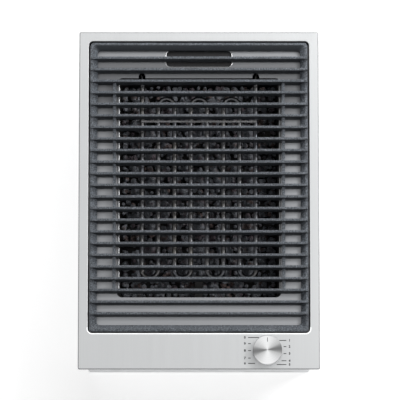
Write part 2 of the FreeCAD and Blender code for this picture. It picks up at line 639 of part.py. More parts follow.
def liner_frame():
    """The lift-out frame: outer rim on the ledge, flat, window with its skirt, finger slot, leg notches."""
    width = WELL_WIDTH - 2 * DROP_IN_GAP
    length = WELL_LENGTH - 2 * DROP_IN_GAP
    under = FRAME_TOP - FRAME_SHEET
    body = rounded_block(width, length, FRAME_CORNER, FRAME_BOTTOM, FRAME_TOP, OPENING_MIDDLE_Y)
    body = rounded_on(body, FRAME_SHEET, lambda p: p.z > FRAME_TOP - 0.01)
    hollow = rounded_block(width - 2 * FRAME_SHEET, length - 2 * FRAME_SHEET, FRAME_CORNER - FRAME_SHEET,
                           FRAME_BOTTOM, under, OPENING_MIDDLE_Y)
    body = body.cut(hollow)
    skirt = rounded_block(WINDOW_WIDTH + 2 * FRAME_SHEET, WINDOW_LENGTH + 2 * FRAME_SHEET, WINDOW_CORNER + FRAME_SHEET,
                          SKIRT_BOTTOM, FRAME_TOP, WINDOW_MIDDLE_Y)
    lip = rounded_block(FINGER_SLOT_WIDTH + 2 * FRAME_SHEET, FINGER_SLOT_LENGTH + 2 * FRAME_SHEET,
                        FINGER_SLOT_CORNER + FRAME_SHEET, under - FINGER_SLOT_LIP, FRAME_TOP, FINGER_SLOT_MIDDLE_Y)
    body = body.fuse([skirt, lip])
    window = rounded_block(WINDOW_WIDTH, WINDOW_LENGTH, WINDOW_CORNER, SKIRT_BOTTOM, FRAME_TOP, WINDOW_MIDDLE_Y)
    finger_slot = rounded_block(FINGER_SLOT_WIDTH, FINGER_SLOT_LENGTH, FINGER_SLOT_CORNER,
                                under - FINGER_SLOT_LIP, FRAME_TOP, FINGER_SLOT_MIDDLE_Y)
    body = body.cut([window, finger_slot])
    centre = Vec(OUTER_RUN_X, NOTCH_MIDDLE_Y, SKIRT_BOTTOM)
    notch = rod(NOTCH_RADIUS, centre, centre + UP * SKIRT_DEPTH)
    notch = notch.fuse(block(centre.x - NOTCH_RADIUS, centre.x + NOTCH_RADIUS, centre.y - 2 * NOTCH_RADIUS, centre.y,
                             SKIRT_BOTTOM, FRAME_TOP))
    return body.cut(both_sides(notch)).removeSplitter()


def grate_rim():
    """The rim of the grate: narrow flat top outside, a slope down to the inside, an upright inner wall."""
    bottom_z = RIM_BOTTOM
    slope_foot = RIM_TOP - RIM_SLOPE_DROP
    outside = rounded_block(GRATE_WIDTH, GRATE_LENGTH, GRATE_CORNER, bottom_z, RIM_TOP, OPENING_MIDDLE_Y)
    inner_size = (GRATE_WIDTH - 2 * RIM_WIDTH, GRATE_LENGTH - 2 * RIM_WIDTH)
    upper_size = (GRATE_WIDTH - 2 * RIM_TOP_WIDTH, GRATE_LENGTH - 2 * RIM_TOP_WIDTH)
    shaft = rounded_block(inner_size[0], inner_size[1], GRATE_CORNER, bottom_z, slope_foot, OPENING_MIDDLE_Y)
    slope = tapered_block(inner_size, upper_size, GRATE_CORNER, slope_foot, RIM_TOP, OPENING_MIDDLE_Y)
    return outside.cut([shaft, slope])


def grate_bar(y):
    """One cross bar: a drafted section whose ends round down to the outer edge of the rim."""
    half_top = BAR_TOP_WIDTH / 2
    half_bottom = half_top + BAR_DRAFT
    x = GRATE_WIDTH / 2
    section = [Vec(-x, y - half_bottom, BAR_BOTTOM), Vec(-x, y + half_bottom, BAR_BOTTOM),
               Vec(-x, y + half_top, BAR_TOP), Vec(-x, y - half_top, BAR_TOP)]
    bar = Part.Face(Part.makePolygon(section + section[:1])).extrude(ALONG_X * GRATE_WIDTH)
    ends = [edge for edge in bar.Edges if abs(edge.CenterOfMass.z - BAR_TOP) < 0.01
            and abs(abs(edge.CenterOfMass.x) - x) < 0.01]
    return bar.makeFillet(BAR_END_ROUND, ends)


def bar_place(number):
    """The Y of a bar, counted from the rear."""
    return FIRST_BAR_Y - BAR_PITCH * (number - 1)


def grate():
    """The cast-iron grate in one piece: rim, cross bars, two lengthwise ribs and four feet."""
    bars = [grate_bar(bar_place(number)) for number in range(1, BAR_COUNT + 1)]
    rib = block(RIB_X - RIB_WIDTH / 2, RIB_X + RIB_WIDTH / 2, bar_place(BAR_COUNT - RIB_STOPS_SHORT),
                bar_place(1 + RIB_STOPS_SHORT),
                BAR_BOTTOM, BAR_BOTTOM + RIB_HEIGHT)
    foot_x = GRATE_WIDTH / 2 - FOOT_INSET / 2
    foot_y = GRATE_LENGTH / 2 - FOOT_INSET / 2
    feet = []
    for sx in (-1, 1):
        for sy in (-1, 1):
            top = Vec(sx * foot_x, OPENING_MIDDLE_Y + sy * foot_y, RIM_BOTTOM)
            feet.append(Part.makeCone(FOOT_RADIUS - 1, FOOT_RADIUS, top.z - FRAME_TOP - REST_GAP,
                                      Vec(top.x, top.y, FRAME_TOP + REST_GAP)))
    return unite([grate_rim()] + bars + [rib, mirrored(rib)] + feet)


def lava_tray():
    """The stainless tray for the stones: drafted walls, a flat rim and four pressed feet."""
    rim_size = (DEEP_WIDTH - 2 * TRAY_SIDE_GAP, DEEP_LENGTH - 2 * TRAY_SIDE_GAP)
    top = (rim_size[0] - 2 * TRAY_RIM, rim_size[1] - 2 * TRAY_RIM)
    bottom = (top[0] - 2 * TRAY_DRAFT, top[1] - 2 * TRAY_DRAFT)
    wall = 2 * TRAY_SHEET
    outside = tapered_block(bottom, top, TRAY_CORNER, TRAY_FLOOR, TRAY_RIM_TOP, DEEP_MIDDLE_Y)
    inside = tapered_block((bottom[0] - wall, bottom[1] - wall), (top[0] - wall, top[1] - wall),
                           TRAY_CORNER - TRAY_SHEET, TRAY_FLOOR + TRAY_SHEET, TRAY_RIM_TOP, DEEP_MIDDLE_Y)
    rim = rounded_block(rim_size[0], rim_size[1], TRAY_CORNER, TRAY_RIM_TOP - TRAY_SHEET, TRAY_RIM_TOP, DEEP_MIDDLE_Y)
    feet = []
    for sx in (-1, 1):
        for sy in (-1, 1):
            x = sx * (bottom[0] / 2 - 2 * TRAY_FOOT_RADIUS)
            y = DEEP_MIDDLE_Y + sy * (bottom[1] / 2 - 2 * TRAY_FOOT_RADIUS)
            feet.append(Part.makeCone(TRAY_FOOT_RADIUS - 2, TRAY_FOOT_RADIUS, TRAY_FOOT_HEIGHT,
                                      Vec(x, y, WELL_FLOOR_TOP)))
    return outside.fuse([rim] + feet).cut(inside).removeSplitter()


def stone(centre, size, random_source):
    """One lava stone: an uneven, somewhat flat, twenty-sided lump that stands on the given level."""
    golden = (1 + math.sqrt(5)) / 2
    corners = []
    for a in (-1, 1):
        for b in (-golden, golden):
            corners += [Vec(0, a, b), Vec(a, b, 0), Vec(b, 0, a)]
    longest = math.sqrt(1 + golden * golden)
    wide = random_source.uniform(0.92, 1.0)
    deep = random_source.uniform(0.92, 1.0)
    tall = random_source.uniform(STONE_FLATNESS - 0.05, STONE_FLATNESS)
    uneven = []
    for corner in corners:
        reach = random_source.uniform(0.86, 1.0) * size / 2 / longest
        uneven.append(Vec(corner.x * wide * reach, corner.y * deep * reach, corner.z * tall * reach))
    faces = []
    for i in range(12):
        for j in range(i + 1, 12):
            for k in range(j + 1, 12):
                sides = (corners[i] - corners[j], corners[j] - corners[k], corners[k] - corners[i])
                if all(side.Length < 2.1 for side in sides):
                    loop = [uneven[i], uneven[j], uneven[k], uneven[i]]
                    faces.append(Part.Face(Part.makePolygon(loop)))
    lump = Part.Solid(Part.Shell(faces))
    if lump.Volume < 0:
        lump.reverse()
    lump.translate(Vec(centre.x, centre.y, centre.z - lump.BoundBox.ZMin))
    return lump


def stone_layer(columns, rows, level, random_source):
    """One layer of stones, one to each place of a grid with the pitch of the lower layer."""
    inset = TRAY_SIDE_GAP + TRAY_RIM + TRAY_DRAFT + TRAY_SHEET + STONE_BED_GAP
    step_x = (DEEP_WIDTH - 2 * inset) / STONE_COLUMNS
    step_y = (DEEP_LENGTH - 2 * inset) / STONE_ROWS
    stones = []
    for row in range(rows):
        for column in range(columns):
            place = Vec((column - (columns - 1) / 2) * step_x, (row - (rows - 1) / 2) * step_y + DEEP_MIDDLE_Y, level)
            stones.append(stone(place, min(step_x, step_y) * random_source.uniform(0.94, 1.0), random_source))
    return stones


def settle(lump, bed, floor):
    """Lets a stone down on the stones below it, or on the floor between them."""
    reach = lump.BoundBox.XLength
    near = [other for other in bed if other.CenterOfMass.distanceToPoint(lump.CenterOfMass) < 2 * reach]
    below = Part.Compound(near)
    for _ in range(STONE_SETTLING_STEPS):
        drop = min(lump.distToShape(below)[0] - STONE_GAP, lump.BoundBox.ZMin - floor)
        lump.translate(UP * -max(drop, 0))
    return lump


def lava_stones():
    """The bed of stones: a layer on the floor of the tray and a layer nested in its hollows."""
    random_source = random.Random(STONE_SEED)
    floor = TRAY_FLOOR + TRAY_SHEET + REST_GAP
    lower = stone_layer(STONE_COLUMNS, STONE_ROWS, floor, random_source)
    highest = max(lump.BoundBox.ZMax for lump in lower)
    upper = stone_layer(STONE_COLUMNS - 1, STONE_ROWS - 1, highest + STONE_GAP, random_source)
    return Part.Compound(lower + [settle(lump, lower, floor) for lump in upper])


def element_path():
    """The centreline: journals, legs, eight straight runs and the half-round bends between them."""
    z = RUN_LEVEL
    bend = RUN_PITCH / 2
    rear = REAR_BEND_END_Y - TUBE_RADIUS - bend
    front = FRONT_BEND_END_Y + TUBE_RADIUS + bend
    leg_y = HINGE_Y - LEG_BEND_RADIUS
    corner = LEG_BEND_RADIUS * (1 - math.sqrt(0.5))
    start_x = -OUTER_RUN_X - LEG_BEND_RADIUS
    edges = [Part.LineSegment(Vec(-JOURNAL_END_X, HINGE_Y, z), Vec(start_x, HINGE_Y, z)).toShape(),
             Part.Arc(Vec(start_x, HINGE_Y, z), Vec(-OUTER_RUN_X - corner, HINGE_Y - corner, z),
                      Vec(-OUTER_RUN_X, leg_y, z)).toShape()]
    here = Vec(-OUTER_RUN_X, leg_y, z)
    for k in range(RUN_COUNT):
        forward = k % 2 == 0
        x = -OUTER_RUN_X + k * RUN_PITCH
        last = k == RUN_COUNT - 1
        end = Vec(x, leg_y if last else (front if forward else rear), z)
        edges.append(Part.LineSegment(here, end).toShape())
        if not last:
            reach = -bend if forward else bend
            here = Vec(x + RUN_PITCH, end.y, z)
            edges.append(Part.Arc(end, Vec(x + bend, end.y + reach, z), here).toShape())
    edges.append(Part.Arc(Vec(OUTER_RUN_X, leg_y, z), Vec(OUTER_RUN_X + corner, HINGE_Y - corner, z),
                          Vec(-start_x, HINGE_Y, z)).toShape())
    edges.append(Part.LineSegment(Vec(-start_x, HINGE_Y, z), Vec(JOURNAL_END_X, HINGE_Y, z)).toShape())
    return Part.Wire(edges)


def heating_element():
    """The tubular element with its two journals in line with the hinge."""
    return swept_tube(element_path(), TUBE_RADIUS)


def element_tie():
    """The thin strap that lies across the eight runs and holds their pitch."""
    z = RUN_LEVEL + TUBE_RADIUS
    return centred_block(2 * OUTER_RUN_X + TIE_WIDTH, TIE_WIDTH, z, z + TIE_THICKNESS, 0, TIE_Y)


def element_rest():
    """The bracket under the two middle front bends, whose tongue lies on the front rim of the tray."""
    top = RUN_LEVEL - TUBE_RADIUS
    y = FRONT_BEND_END_Y + TUBE_RADIUS
    cross = centred_block(REST_BAR_LENGTH, REST_BAR_WIDTH, top - REST_THICKNESS, top, 0, y)
    tip = WINDOW_FRONT + REST_TIP_GAP
    tongue = block(-REST_TONGUE_WIDTH / 2, REST_TONGUE_WIDTH / 2, tip, y, top - REST_THICKNESS, top)
    drop = top - REST_THICKNESS - TRAY_RIM_TOP - REST_GAP
    foot = block(-REST_TONGUE_WIDTH / 2, REST_TONGUE_WIDTH / 2, tip, tip + REST_FOOT_LENGTH,
                 top - REST_THICKNESS - drop, top - REST_THICKNESS)
    return unite([cross, tongue, foot])


def hinge_bracket():
    """The right hinge bracket: a foot riveted to the rear wall of the well and an ear for the bush."""
    x = OUTER_RUN_X + BRACKET_OFFSET
    low = RUN_LEVEL - BRACKET_HEIGHT / 2
    high = min(RUN_LEVEL + BRACKET_HEIGHT / 2, LEDGE_TOP - WELL_SHEET - 1)
    foot = block(x, x + BRACKET_FOOT, WALL_REAR_OUTSIDE, WALL_REAR_OUTSIDE + BRACKET_SHEET, low, high)
    ear = block(x, x + BRACKET_SHEET, WALL_REAR_OUTSIDE, HINGE_Y, low, high)
    centre = Vec(x, HINGE_Y, RUN_LEVEL)
    nose = rod(BRACKET_EAR, centre, centre + ALONG_X * BRACKET_SHEET)
    nose = nose.common(block(x - 1, x + BRACKET_SHEET + 1, WALL_REAR_OUTSIDE, HINGE_Y + BRACKET_EAR, low, high))
    bore = rod(BUSH_RADIUS, centre, centre + ALONG_X * BRACKET_SHEET)
    body = unite([foot, ear, nose]).cut(bore)
    for place in rivet_places():
        body = body.cut(rod(RIVET_RADIUS, place - ALONG_Y * 5, place + ALONG_Y * 5))
    return body


def rivet_places():
    """The two rivets of the right hinge bracket, on the outside of the well."""
    x = OUTER_RUN_X + BRACKET_OFFSET + BRACKET_SHEET + 8
    return [Vec(x, WALL_REAR_OUTSIDE, RUN_LEVEL + dz) for dz in (-10, 7)]


def hinge_rivets():
    """Four rivets through the foot of each bracket and the wall of the well."""
    rivets = []
    for place in rivet_places():
        outer = place + ALONG_Y * BRACKET_SHEET
        head = rod(RIVET_HEAD_RADIUS, outer, outer + ALONG_Y * RIVET_HEAD)
        shank = rod(RIVET_RADIUS, place, outer)
        rivets.append(unite([head, shank]))
    return Part.Compound(rivets + [mirrored(rivet) for rivet in rivets])


def hinge_bushes():
    """A flanged bush in each ear, which the journal of the element turns in."""
    ear = Vec(OUTER_RUN_X + BRACKET_OFFSET, HINGE_Y, RUN_LEVEL)
    inner = ear - ALONG_X * BUSH_FLANGE
    outer = ear + ALONG_X * BUSH_SLEEVE
    flange = rod(BUSH_RADIUS + BUSH_FLANGE_RISE, inner, ear)
    bore = rod(TUBE_RADIUS + RUNNING_GAP, inner, outer)
    return both_sides(unite([rod(BUSH_RADIUS, inner, outer), flange]).cut(bore))


def terminal_insulators():
    """A ceramic collar on the end of each journal."""
    start = Vec(JOURNAL_END_X, HINGE_Y, RUN_LEVEL)
    return both_sides(tube(INSULATOR_RADIUS, STUD_RADIUS, start, start + ALONG_X * INSULATOR_LENGTH))


def terminal_studs():
    """The threaded stud and nut at each end of the element."""
    start = Vec(JOURNAL_END_X, HINGE_Y, RUN_LEVEL)
    stud = rod(STUD_RADIUS, start, start + ALONG_X * (INSULATOR_LENGTH + STUD_LENGTH))
    nut_foot = start + ALONG_X * (INSULATOR_LENGTH + STUD_LENGTH - STUD_NUT_HEIGHT - 1)
    nut = hexagon(STUD_NUT_WIDTH, STUD_NUT_HEIGHT, nut_foot, ALONG_X)
    return both_sides(unite([stud, nut]))


def knob_cap():
    """The turned metal cap of the knob, hollow from below."""
    top_radius = KNOB_RADIUS - KNOB_DRAFT
    outline = [Vec(0, 0, KNOB_TOP), Vec(top_radius, 0, KNOB_TOP), Vec(KNOB_RADIUS, 0, KNOB_BASE),
               Vec(KNOB_RADIUS - KNOB_WALL, 0, KNOB_BASE), Vec(top_radius - KNOB_WALL, 0, KNOB_TOP - KNOB_WALL),
               Vec(0, 0, KNOB_TOP - KNOB_WALL)]
    cap = Part.Face(Part.makePolygon(outline + outline[:1])).revolve(Vec(0, 0, 0), UP, 360)
    cap = rounded_on(cap, KNOB_EDGE_ROUND, lambda p: abs(p.z - KNOB_TOP) < 0.01)
    cap.translate(Vec(KNOB_X, KNOB_Y, 0))
    return cap


def shaft_section(radius, flat, foot, height):
    """A D-shaped prism: a round shaft with one flat."""
    whole = rod(radius, foot, foot + UP * height)
    away = block(foot.x - radius, foot.x + radius, foot.y + radius - flat, foot.y + radius, foot.z, foot.z + height)
    return whole.cut(away)


def knob_core():
    """The moulded core inside the cap: a round flange under the top and a hub with a D-shaped bore."""
    top = KNOB_TOP - KNOB_WALL
    axis = Vec(KNOB_X, KNOB_Y, top)
    flange_radius = KNOB_RADIUS - KNOB_DRAFT - KNOB_WALL - 0.1
    flange = rod(flange_radius, axis - UP * CORE_FLANGE_THICKNESS, axis)
    hub = rod(CORE_RADIUS, axis - UP * CORE_LENGTH, axis)
    bore_foot = axis - UP * CORE_LENGTH
    bore = shaft_section(SHAFT_RADIUS + RUNNING_GAP, SHAFT_FLAT, bore_foot, CORE_LENGTH - SHAFT_TOP_GAP + 0.5)
    return unite([flange, hub]).cut(bore)


def knob_clip():
    """The split spring ring that grips the hub on the shaft."""
    foot = Vec(KNOB_X, KNOB_Y, KNOB_TOP - KNOB_WALL - CORE_LENGTH + 2)
    band = tube(CLIP_RADIUS, CORE_RADIUS, foot, foot + UP * CLIP_LENGTH)
    gap = block(foot.x - CLIP_OPENING / 2, foot.x + CLIP_OPENING / 2, foot.y, foot.y + CLIP_RADIUS, foot.z,
                foot.z + CLIP_LENGTH)
    return band.cut(gap)


def knob_seal():
    """The rubber ring in the knob hole of the plate, round the shaft."""
    foot = Vec(KNOB_X, KNOB_Y, PLATE_UNDER)
    neck = rod(KNOB_HOLE_RADIUS, foot, foot + UP * PLATE_SHEET)
    collar = rod(KNOB_SEAL_RADIUS, foot + UP * PLATE_SHEET, foot + UP * (PLATE_SHEET + KNOB_SEAL_LIP))
    bore = rod(SHAFT_RADIUS + 0.4, foot, foot + UP * (PLATE_SHEET + KNOB_SEAL_HEIGHT))
    return unite([neck, collar]).cut(bore)


def regulator_shaft():
    """The D-shaped shaft that turns with the knob."""
    foot = Vec(KNOB_X, KNOB_Y, REGULATOR_TOP + RUNNING_GAP)
    top = KNOB_TOP - KNOB_WALL - SHAFT_TOP_GAP
    return shaft_section(SHAFT_RADIUS, SHAFT_FLAT, foot, top - foot.z)


def energy_regulator():
    """The regulator: moulded body with bevelled edges, threaded neck and four blade terminals."""
    body = centred_block(REGULATOR_WIDTH, REGULATOR_LENGTH, REGULATOR_BOTTOM, REGULATOR_TOP, KNOB_X, REGULATOR_Y)
    body = body.makeChamfer(1.5, [e for e in body.Edges if abs(e.CenterOfMass.z - (REGULATOR_TOP + REGULATOR_BOTTOM) / 2) < 1])
    neck_foot = Vec(KNOB_X, KNOB_Y, REGULATOR_TOP)
    neck = rod(REGULATOR_NECK_RADIUS, neck_foot, neck_foot + UP * REGULATOR_NECK)
    tabs = []
    for place in tab_places():
        tabs.append(centred_block(TAB_WIDTH, TAB_THICKNESS, REGULATOR_BOTTOM - TAB_LENGTH, REGULATOR_BOTTOM, place.x, place.y))
    bore = rod(SHAFT_RADIUS + RUNNING_GAP, neck_foot, neck_foot + UP * REGULATOR_NECK)
    return unite([body, neck] + tabs).cut(bore)


def tab_places():
    """Where the four blade terminals leave the regulator."""
    return [Vec(KNOB_X + (k - 1.5) * TAB_PITCH, REGULATOR_Y, REGULATOR_BOTTOM - TAB_LENGTH) for k in range(4)]


def regulator_bracket():
    """The folded bracket that hangs the regulator under the plate."""
    z = REGULATOR_TOP
    half = REGULATOR_WIDTH / 2
    y0 = REGULATOR_Y - REGULATOR_LENGTH / 2
    points = []
    for x, level in ((-half - BRACKET_TAB, PLATE_UNDER), (-half, PLATE_UNDER), (-half, z + BRACKET_PLATE),
                     (half, z + BRACKET_PLATE), (half, PLATE_UNDER), (half + BRACKET_TAB, PLATE_UNDER),
                     (half + BRACKET_TAB, PLATE_UNDER - BRACKET_PLATE), (half + BRACKET_PLATE, PLATE_UNDER - BRACKET_PLATE),
                     (half + BRACKET_PLATE, z), (-half - BRACKET_PLATE, z),
                     (-half - BRACKET_PLATE, PLATE_UNDER - BRACKET_PLATE), (-half - BRACKET_TAB, PLATE_UNDER - BRACKET_PLATE)):
        points.append(Vec(KNOB_X + x, y0, level))
    body = Part.Face(Part.makePolygon(points + points[:1])).extrude(ALONG_Y * REGULATOR_LENGTH)
    foot = Vec(KNOB_X, KNOB_Y, z)
    body = body.cut(rod(REGULATOR_NECK_RADIUS, foot, foot + UP * BRACKET_PLATE))
    for place in regulator_screw_places():
        body = body.cut(rod(COVER_SCREW_RADIUS, place, place + UP * BRACKET_PLATE))
    return body


def regulator_screw_places():
    """The two screws of the regulator, at the level of its top."""
    return [Vec(KNOB_X + side * REGULATOR_SCREW_PITCH / 2, REGULATOR_Y, REGULATOR_TOP) for side in (-1, 1)]


def regulator_screws():
    """Two short screws through the bracket into the regulator."""
    screws = []
    for place in regulator_screw_places():
        shank = rod(COVER_SCREW_RADIUS, place, place + UP * BRACKET_PLATE)
        head_foot = place + UP * BRACKET_PLATE
        head = rod(COVER_SCREW_HEAD_RADIUS, head_foot, head_foot + UP * COVER_SCREW_HEAD)
        screws.append(unite([shank, head]))
    return Part.Compound(screws)


def block_face_y():
    """The front face of the terminal block, which stands on the rear wall of the casing."""
    return CASING_INSIDE_REAR - BLOCK_DEPTH


def way_place(number):
    """The mouth of one way of the terminal block."""
    return Vec(BLOCK_X + (number - (BLOCK_WAYS - 1) / 2) * BLOCK_WAY_PITCH, block_face_y(), BLOCK_LEVEL + BLOCK_HEIGHT / 2)


def terminal_block():
    """The three-way mains terminal block."""
    body = block(BLOCK_X - BLOCK_WIDTH / 2, BLOCK_X + BLOCK_WIDTH / 2, block_face_y(), CASING_INSIDE_REAR,
                 BLOCK_LEVEL, BLOCK_LEVEL + BLOCK_HEIGHT)
    for k in range(BLOCK_WAYS):
        mouth = way_place(k)
        body = body.cut(rod(BLOCK_BORE_RADIUS, mouth, mouth + ALONG_Y * (BLOCK_DEPTH - 4)))
        top = Vec(mouth.x, mouth.y + BLOCK_DEPTH / 2, BLOCK_LEVEL + BLOCK_HEIGHT)
        body = body.cut(rod(BLOCK_BORE_RADIUS, top, top - UP * 6))
    return body


def terminal_block_screws():
    """The clamping screws in the top of the terminal block."""
    screws = []
    for k in range(BLOCK_WAYS):
        mouth = way_place(k)
        top = Vec(mouth.x, mouth.y + BLOCK_DEPTH / 2, BLOCK_LEVEL + BLOCK_HEIGHT)
        screws.append(rod(BLOCK_BORE_RADIUS - 0.1, top - UP * 5.9, top - UP * 1))
    return Part.Compound(screws)


def cable_gland():
    """The gland in the rear wall that a mains cable goes through."""
    wall = Vec(GLAND_X, CASING_HALF_LENGTH, GLAND_LEVEL)
    body = rod(GLAND_BODY_RADIUS, wall - ALONG_Y * (CASING_SHEET + GLAND_BODY_LENGTH), wall - ALONG_Y * CASING_SHEET)
    thread = rod(GLAND_THREAD_RADIUS, wall - ALONG_Y * (CASING_SHEET + GLAND_LENGTH), wall)
    bore = rod(GLAND_BORE_RADIUS, wall - ALONG_Y * (CASING_SHEET + GLAND_LENGTH), wall)
    return unite([body, thread]).cut(bore)


def gland_nut():
    """The hexagonal nut that closes the gland inside."""
    wall = Vec(GLAND_X, CASING_INSIDE_REAR - GLAND_BODY_LENGTH, GLAND_LEVEL)
    nut = hexagon(2 * GLAND_BODY_RADIUS, GLAND_NUT_HEIGHT, wall, ALONG_Y * -1)
    return nut.cut(rod(GLAND_THREAD_RADIUS, wall, wall - ALONG_Y * GLAND_NUT_HEIGHT))


def earth_stud():
    """The welded earth stud on the rear wall, with its washer."""
    wall = Vec(EARTH_X, CASING_INSIDE_REAR, EARTH_LEVEL)
    stud = rod(STUD_RADIUS, wall - ALONG_Y * EARTH_STUD_LENGTH, wall)
    washer = rod(STUD_NUT_WIDTH * 0.7, wall - ALONG_Y * 1.2, wall)
    return unite([stud, washer])


def earth_nut():
    """The nut that holds the earth lead on its stud."""
    foot = Vec(EARTH_X, CASING_INSIDE_REAR - 1.2 - 2 * LEAD_RADIUS - 0.4, EARTH_LEVEL)
    nut = hexagon(STUD_NUT_WIDTH, STUD_NUT_HEIGHT, foot, ALONG_Y * -1)
    return nut.cut(rod(STUD_RADIUS, foot, foot - ALONG_Y * STUD_NUT_HEIGHT))


def cutout_axis():
    """Where the thermal cut-out stands on the front heat shield."""
    return Vec(CUTOUT_X, WALL_FRONT_OUTSIDE - SHIELD_GAP - SHIELD_SHEET, CUTOUT_LEVEL)


def thermal_cutout():
    """The round bimetal cut-out with two blade terminals."""
    face = cutout_axis()
    body = rod(CUTOUT_RADIUS, face, face - ALONG_Y * CUTOUT_HEIGHT)
    tabs = []
    for side in (-1, 1):
        x = face.x + side * CUTOUT_RADIUS / 2
        tabs.append(block(x - TAB_WIDTH / 4, x + TAB_WIDTH / 4, face.y - CUTOUT_HEIGHT - TAB_LENGTH, face.y - CUTOUT_HEIGHT,
                          face.z - TAB_THICKNESS / 2, face.z + TAB_THICKNESS / 2))
    return unite([body] + tabs)


def cutout_clamp():
    """The small plate with a round hole that presses the cut-out against its shield."""
    face = cutout_axis()
    plate = block(face.x - CUTOUT_PLATE_WIDTH / 2, face.x + CUTOUT_PLATE_WIDTH / 2, face.y - CUTOUT_PLATE, face.y,
                  face.z - CUTOUT_RADIUS - 3, face.z + CUTOUT_RADIUS + 3)
    return plate.cut(rod(CUTOUT_RADIUS, face, face - ALONG_Y * CUTOUT_PLATE))


def lead_with_eye(points, eye_bore, eye_axis):
    """A lead along its route that starts in a crimped eye."""
    start = points[0]
    along = points[1] - points[0]
    along.normalize()
    eye_centre = start - along * (eye_bore + 2)
    eye = tube(eye_bore + 2.2, eye_bore, eye_centre - eye_axis * LEAD_RADIUS / 2, eye_centre + eye_axis * LEAD_RADIUS / 2)
    return unite([swept_tube(bent_path(points), LEAD_RADIUS), eye])


def element_lead(side, last_points):
    """A lead from one end of the element, down the rear corner and forward along the side."""
    x = side * STUD_EYE_X
    side_x = side * (DEEP_HALF_OUTSIDE + SHIELD_GAP + 9)
    eye_bore = STUD_RADIUS + SEAL_GAP
    points = [Vec(x, HINGE_Y, RUN_LEVEL - eye_bore - 2), Vec(x, HINGE_Y, 85), Vec(side_x, HINGE_Y - 6, 50),
              Vec(side_x, 150, 34), Vec(side_x, 100, 32), Vec(side_x, 0, 31), Vec(side_x, -100, 32)]
    return lead_with_eye(points + last_points, eye_bore, ALONG_X)


def left_element_lead():
    """From the left end of the element to the thermal cut-out."""
    face = cutout_axis()
    tab = Vec(face.x - CUTOUT_RADIUS / 2, face.y - CUTOUT_HEIGHT - TAB_LENGTH, face.z)
    side_x = -(DEEP_HALF_OUTSIDE + SHIELD_GAP + 9)
    return element_lead(-1, [Vec(side_x, -150, 36), Vec(side_x + 12, -188, 48), Vec(-100, -202, 66),
                             Vec(tab.x - 10, -200, tab.z - 16), Vec(tab.x - 1, tab.y - 12, tab.z - 3),
                             Vec(tab.x, tab.y, tab.z)])


def right_element_lead():
    """From the right end of the element to the regulator."""
    tab = tab_places()[3]
    side_x = DEEP_HALF_OUTSIDE + SHIELD_GAP + 9
    return element_lead(1, [Vec(side_x, -150, 36), Vec(side_x - 4, -190, 44), Vec(tab.x + 12, -218, 60),
                            Vec(tab.x + 1, tab.y, tab.z - 16), Vec(tab.x, tab.y, tab.z)])


def cutout_lead():
    """From the thermal cut-out to the regulator."""
    face = cutout_axis()
    start = Vec(face.x + CUTOUT_RADIUS / 2, face.y - CUTOUT_HEIGHT - TAB_LENGTH, face.z)
    tab = tab_places()[0]
    return swept_tube(bent_path([start, start + Vec(4, -14, -6), Vec(0, -208, 76), Vec(40, -212, 66),
                                 Vec(tab.x - 8, tab.y, tab.z - 24), tab]), LEAD_RADIUS)


def supply_lead(way, tab_number, x_offset):
    """From one way of the terminal block, forward over the bottom cover and up to the regulator."""
    mouth = way_place(way)
    tab = tab_places()[tab_number]
    x = mouth.x + x_offset
    return swept_tube(bent_path([mouth + ALONG_Y * 4, mouth - ALONG_Y * 14, Vec(x, mouth.y - 26, 22), Vec(x, 160, 10),
                                 Vec(x + 1, 60, 9), Vec(x, -60, 9), Vec(x + 4, -150, 10), Vec(x + 40, -200, 16),
                                 Vec(tab.x - 10, -224, 40), Vec(tab.x - 1, tab.y, tab.z - 24), tab]), LEAD_RADIUS)


def earth_lead():
    """From the terminal block to the earth stud."""
    mouth = way_place(BLOCK_WAYS - 1)
    eye_bore = STUD_RADIUS + EYE_PLAY
    stud = Vec(EARTH_X, CASING_INSIDE_REAR - 1.2 - LEAD_RADIUS - 0.2, EARTH_LEVEL)
    start = stud + Vec(-eye_bore - 2, 0, 0)
    points = [start, start + Vec(-12, -2, 0), Vec(mouth.x + 20, mouth.y - 14, mouth.z - 10),
              Vec(mouth.x + 3, mouth.y - 18, mouth.z), mouth + ALONG_Y * 4]
    return lead_with_eye(points, eye_bore, ALONG_Y)


def clamp_axes():
    """The upright axes of the four worktop clamps."""
    return [Vec(sx * CLAMP_AXIS_X, sy * CLAMP_AXIS_Y, 0) for sx in (1, -1) for sy in (-1, 1)]


def worktop_clamp():
    """The front right clamp: a hub on the screw and an arm folded along the casing, bent up at its tip."""
    foot = Vec(CLAMP_AXIS_X, -CLAMP_AXIS_Y, CLAMP_HUB_TOP - CLAMP_HUB_HEIGHT)
    hub = rod(CLAMP_HUB_RADIUS, foot, foot + UP * CLAMP_HUB_HEIGHT)
    arm_low = CLAMP_HUB_TOP - CLAMP_ARM_THICKNESS - 3
    half = CLAMP_ARM_WIDTH / 2
    arm = block(foot.x - half, foot.x + half, foot.y, foot.y + CLAMP_ARM_LENGTH, arm_low, arm_low + CLAMP_ARM_THICKNESS)
    tip = block(foot.x - half, foot.x + half, foot.y + CLAMP_ARM_LENGTH - CLAMP_ARM_THICKNESS, foot.y + CLAMP_ARM_LENGTH,
                arm_low, CLAMP_HUB_TOP)
    bore = rod(CLAMP_SCREW_RADIUS + RUNNING_GAP, foot, foot + UP * CLAMP_HUB_HEIGHT)
    return unite([hub, arm, tip]).cut(bore)


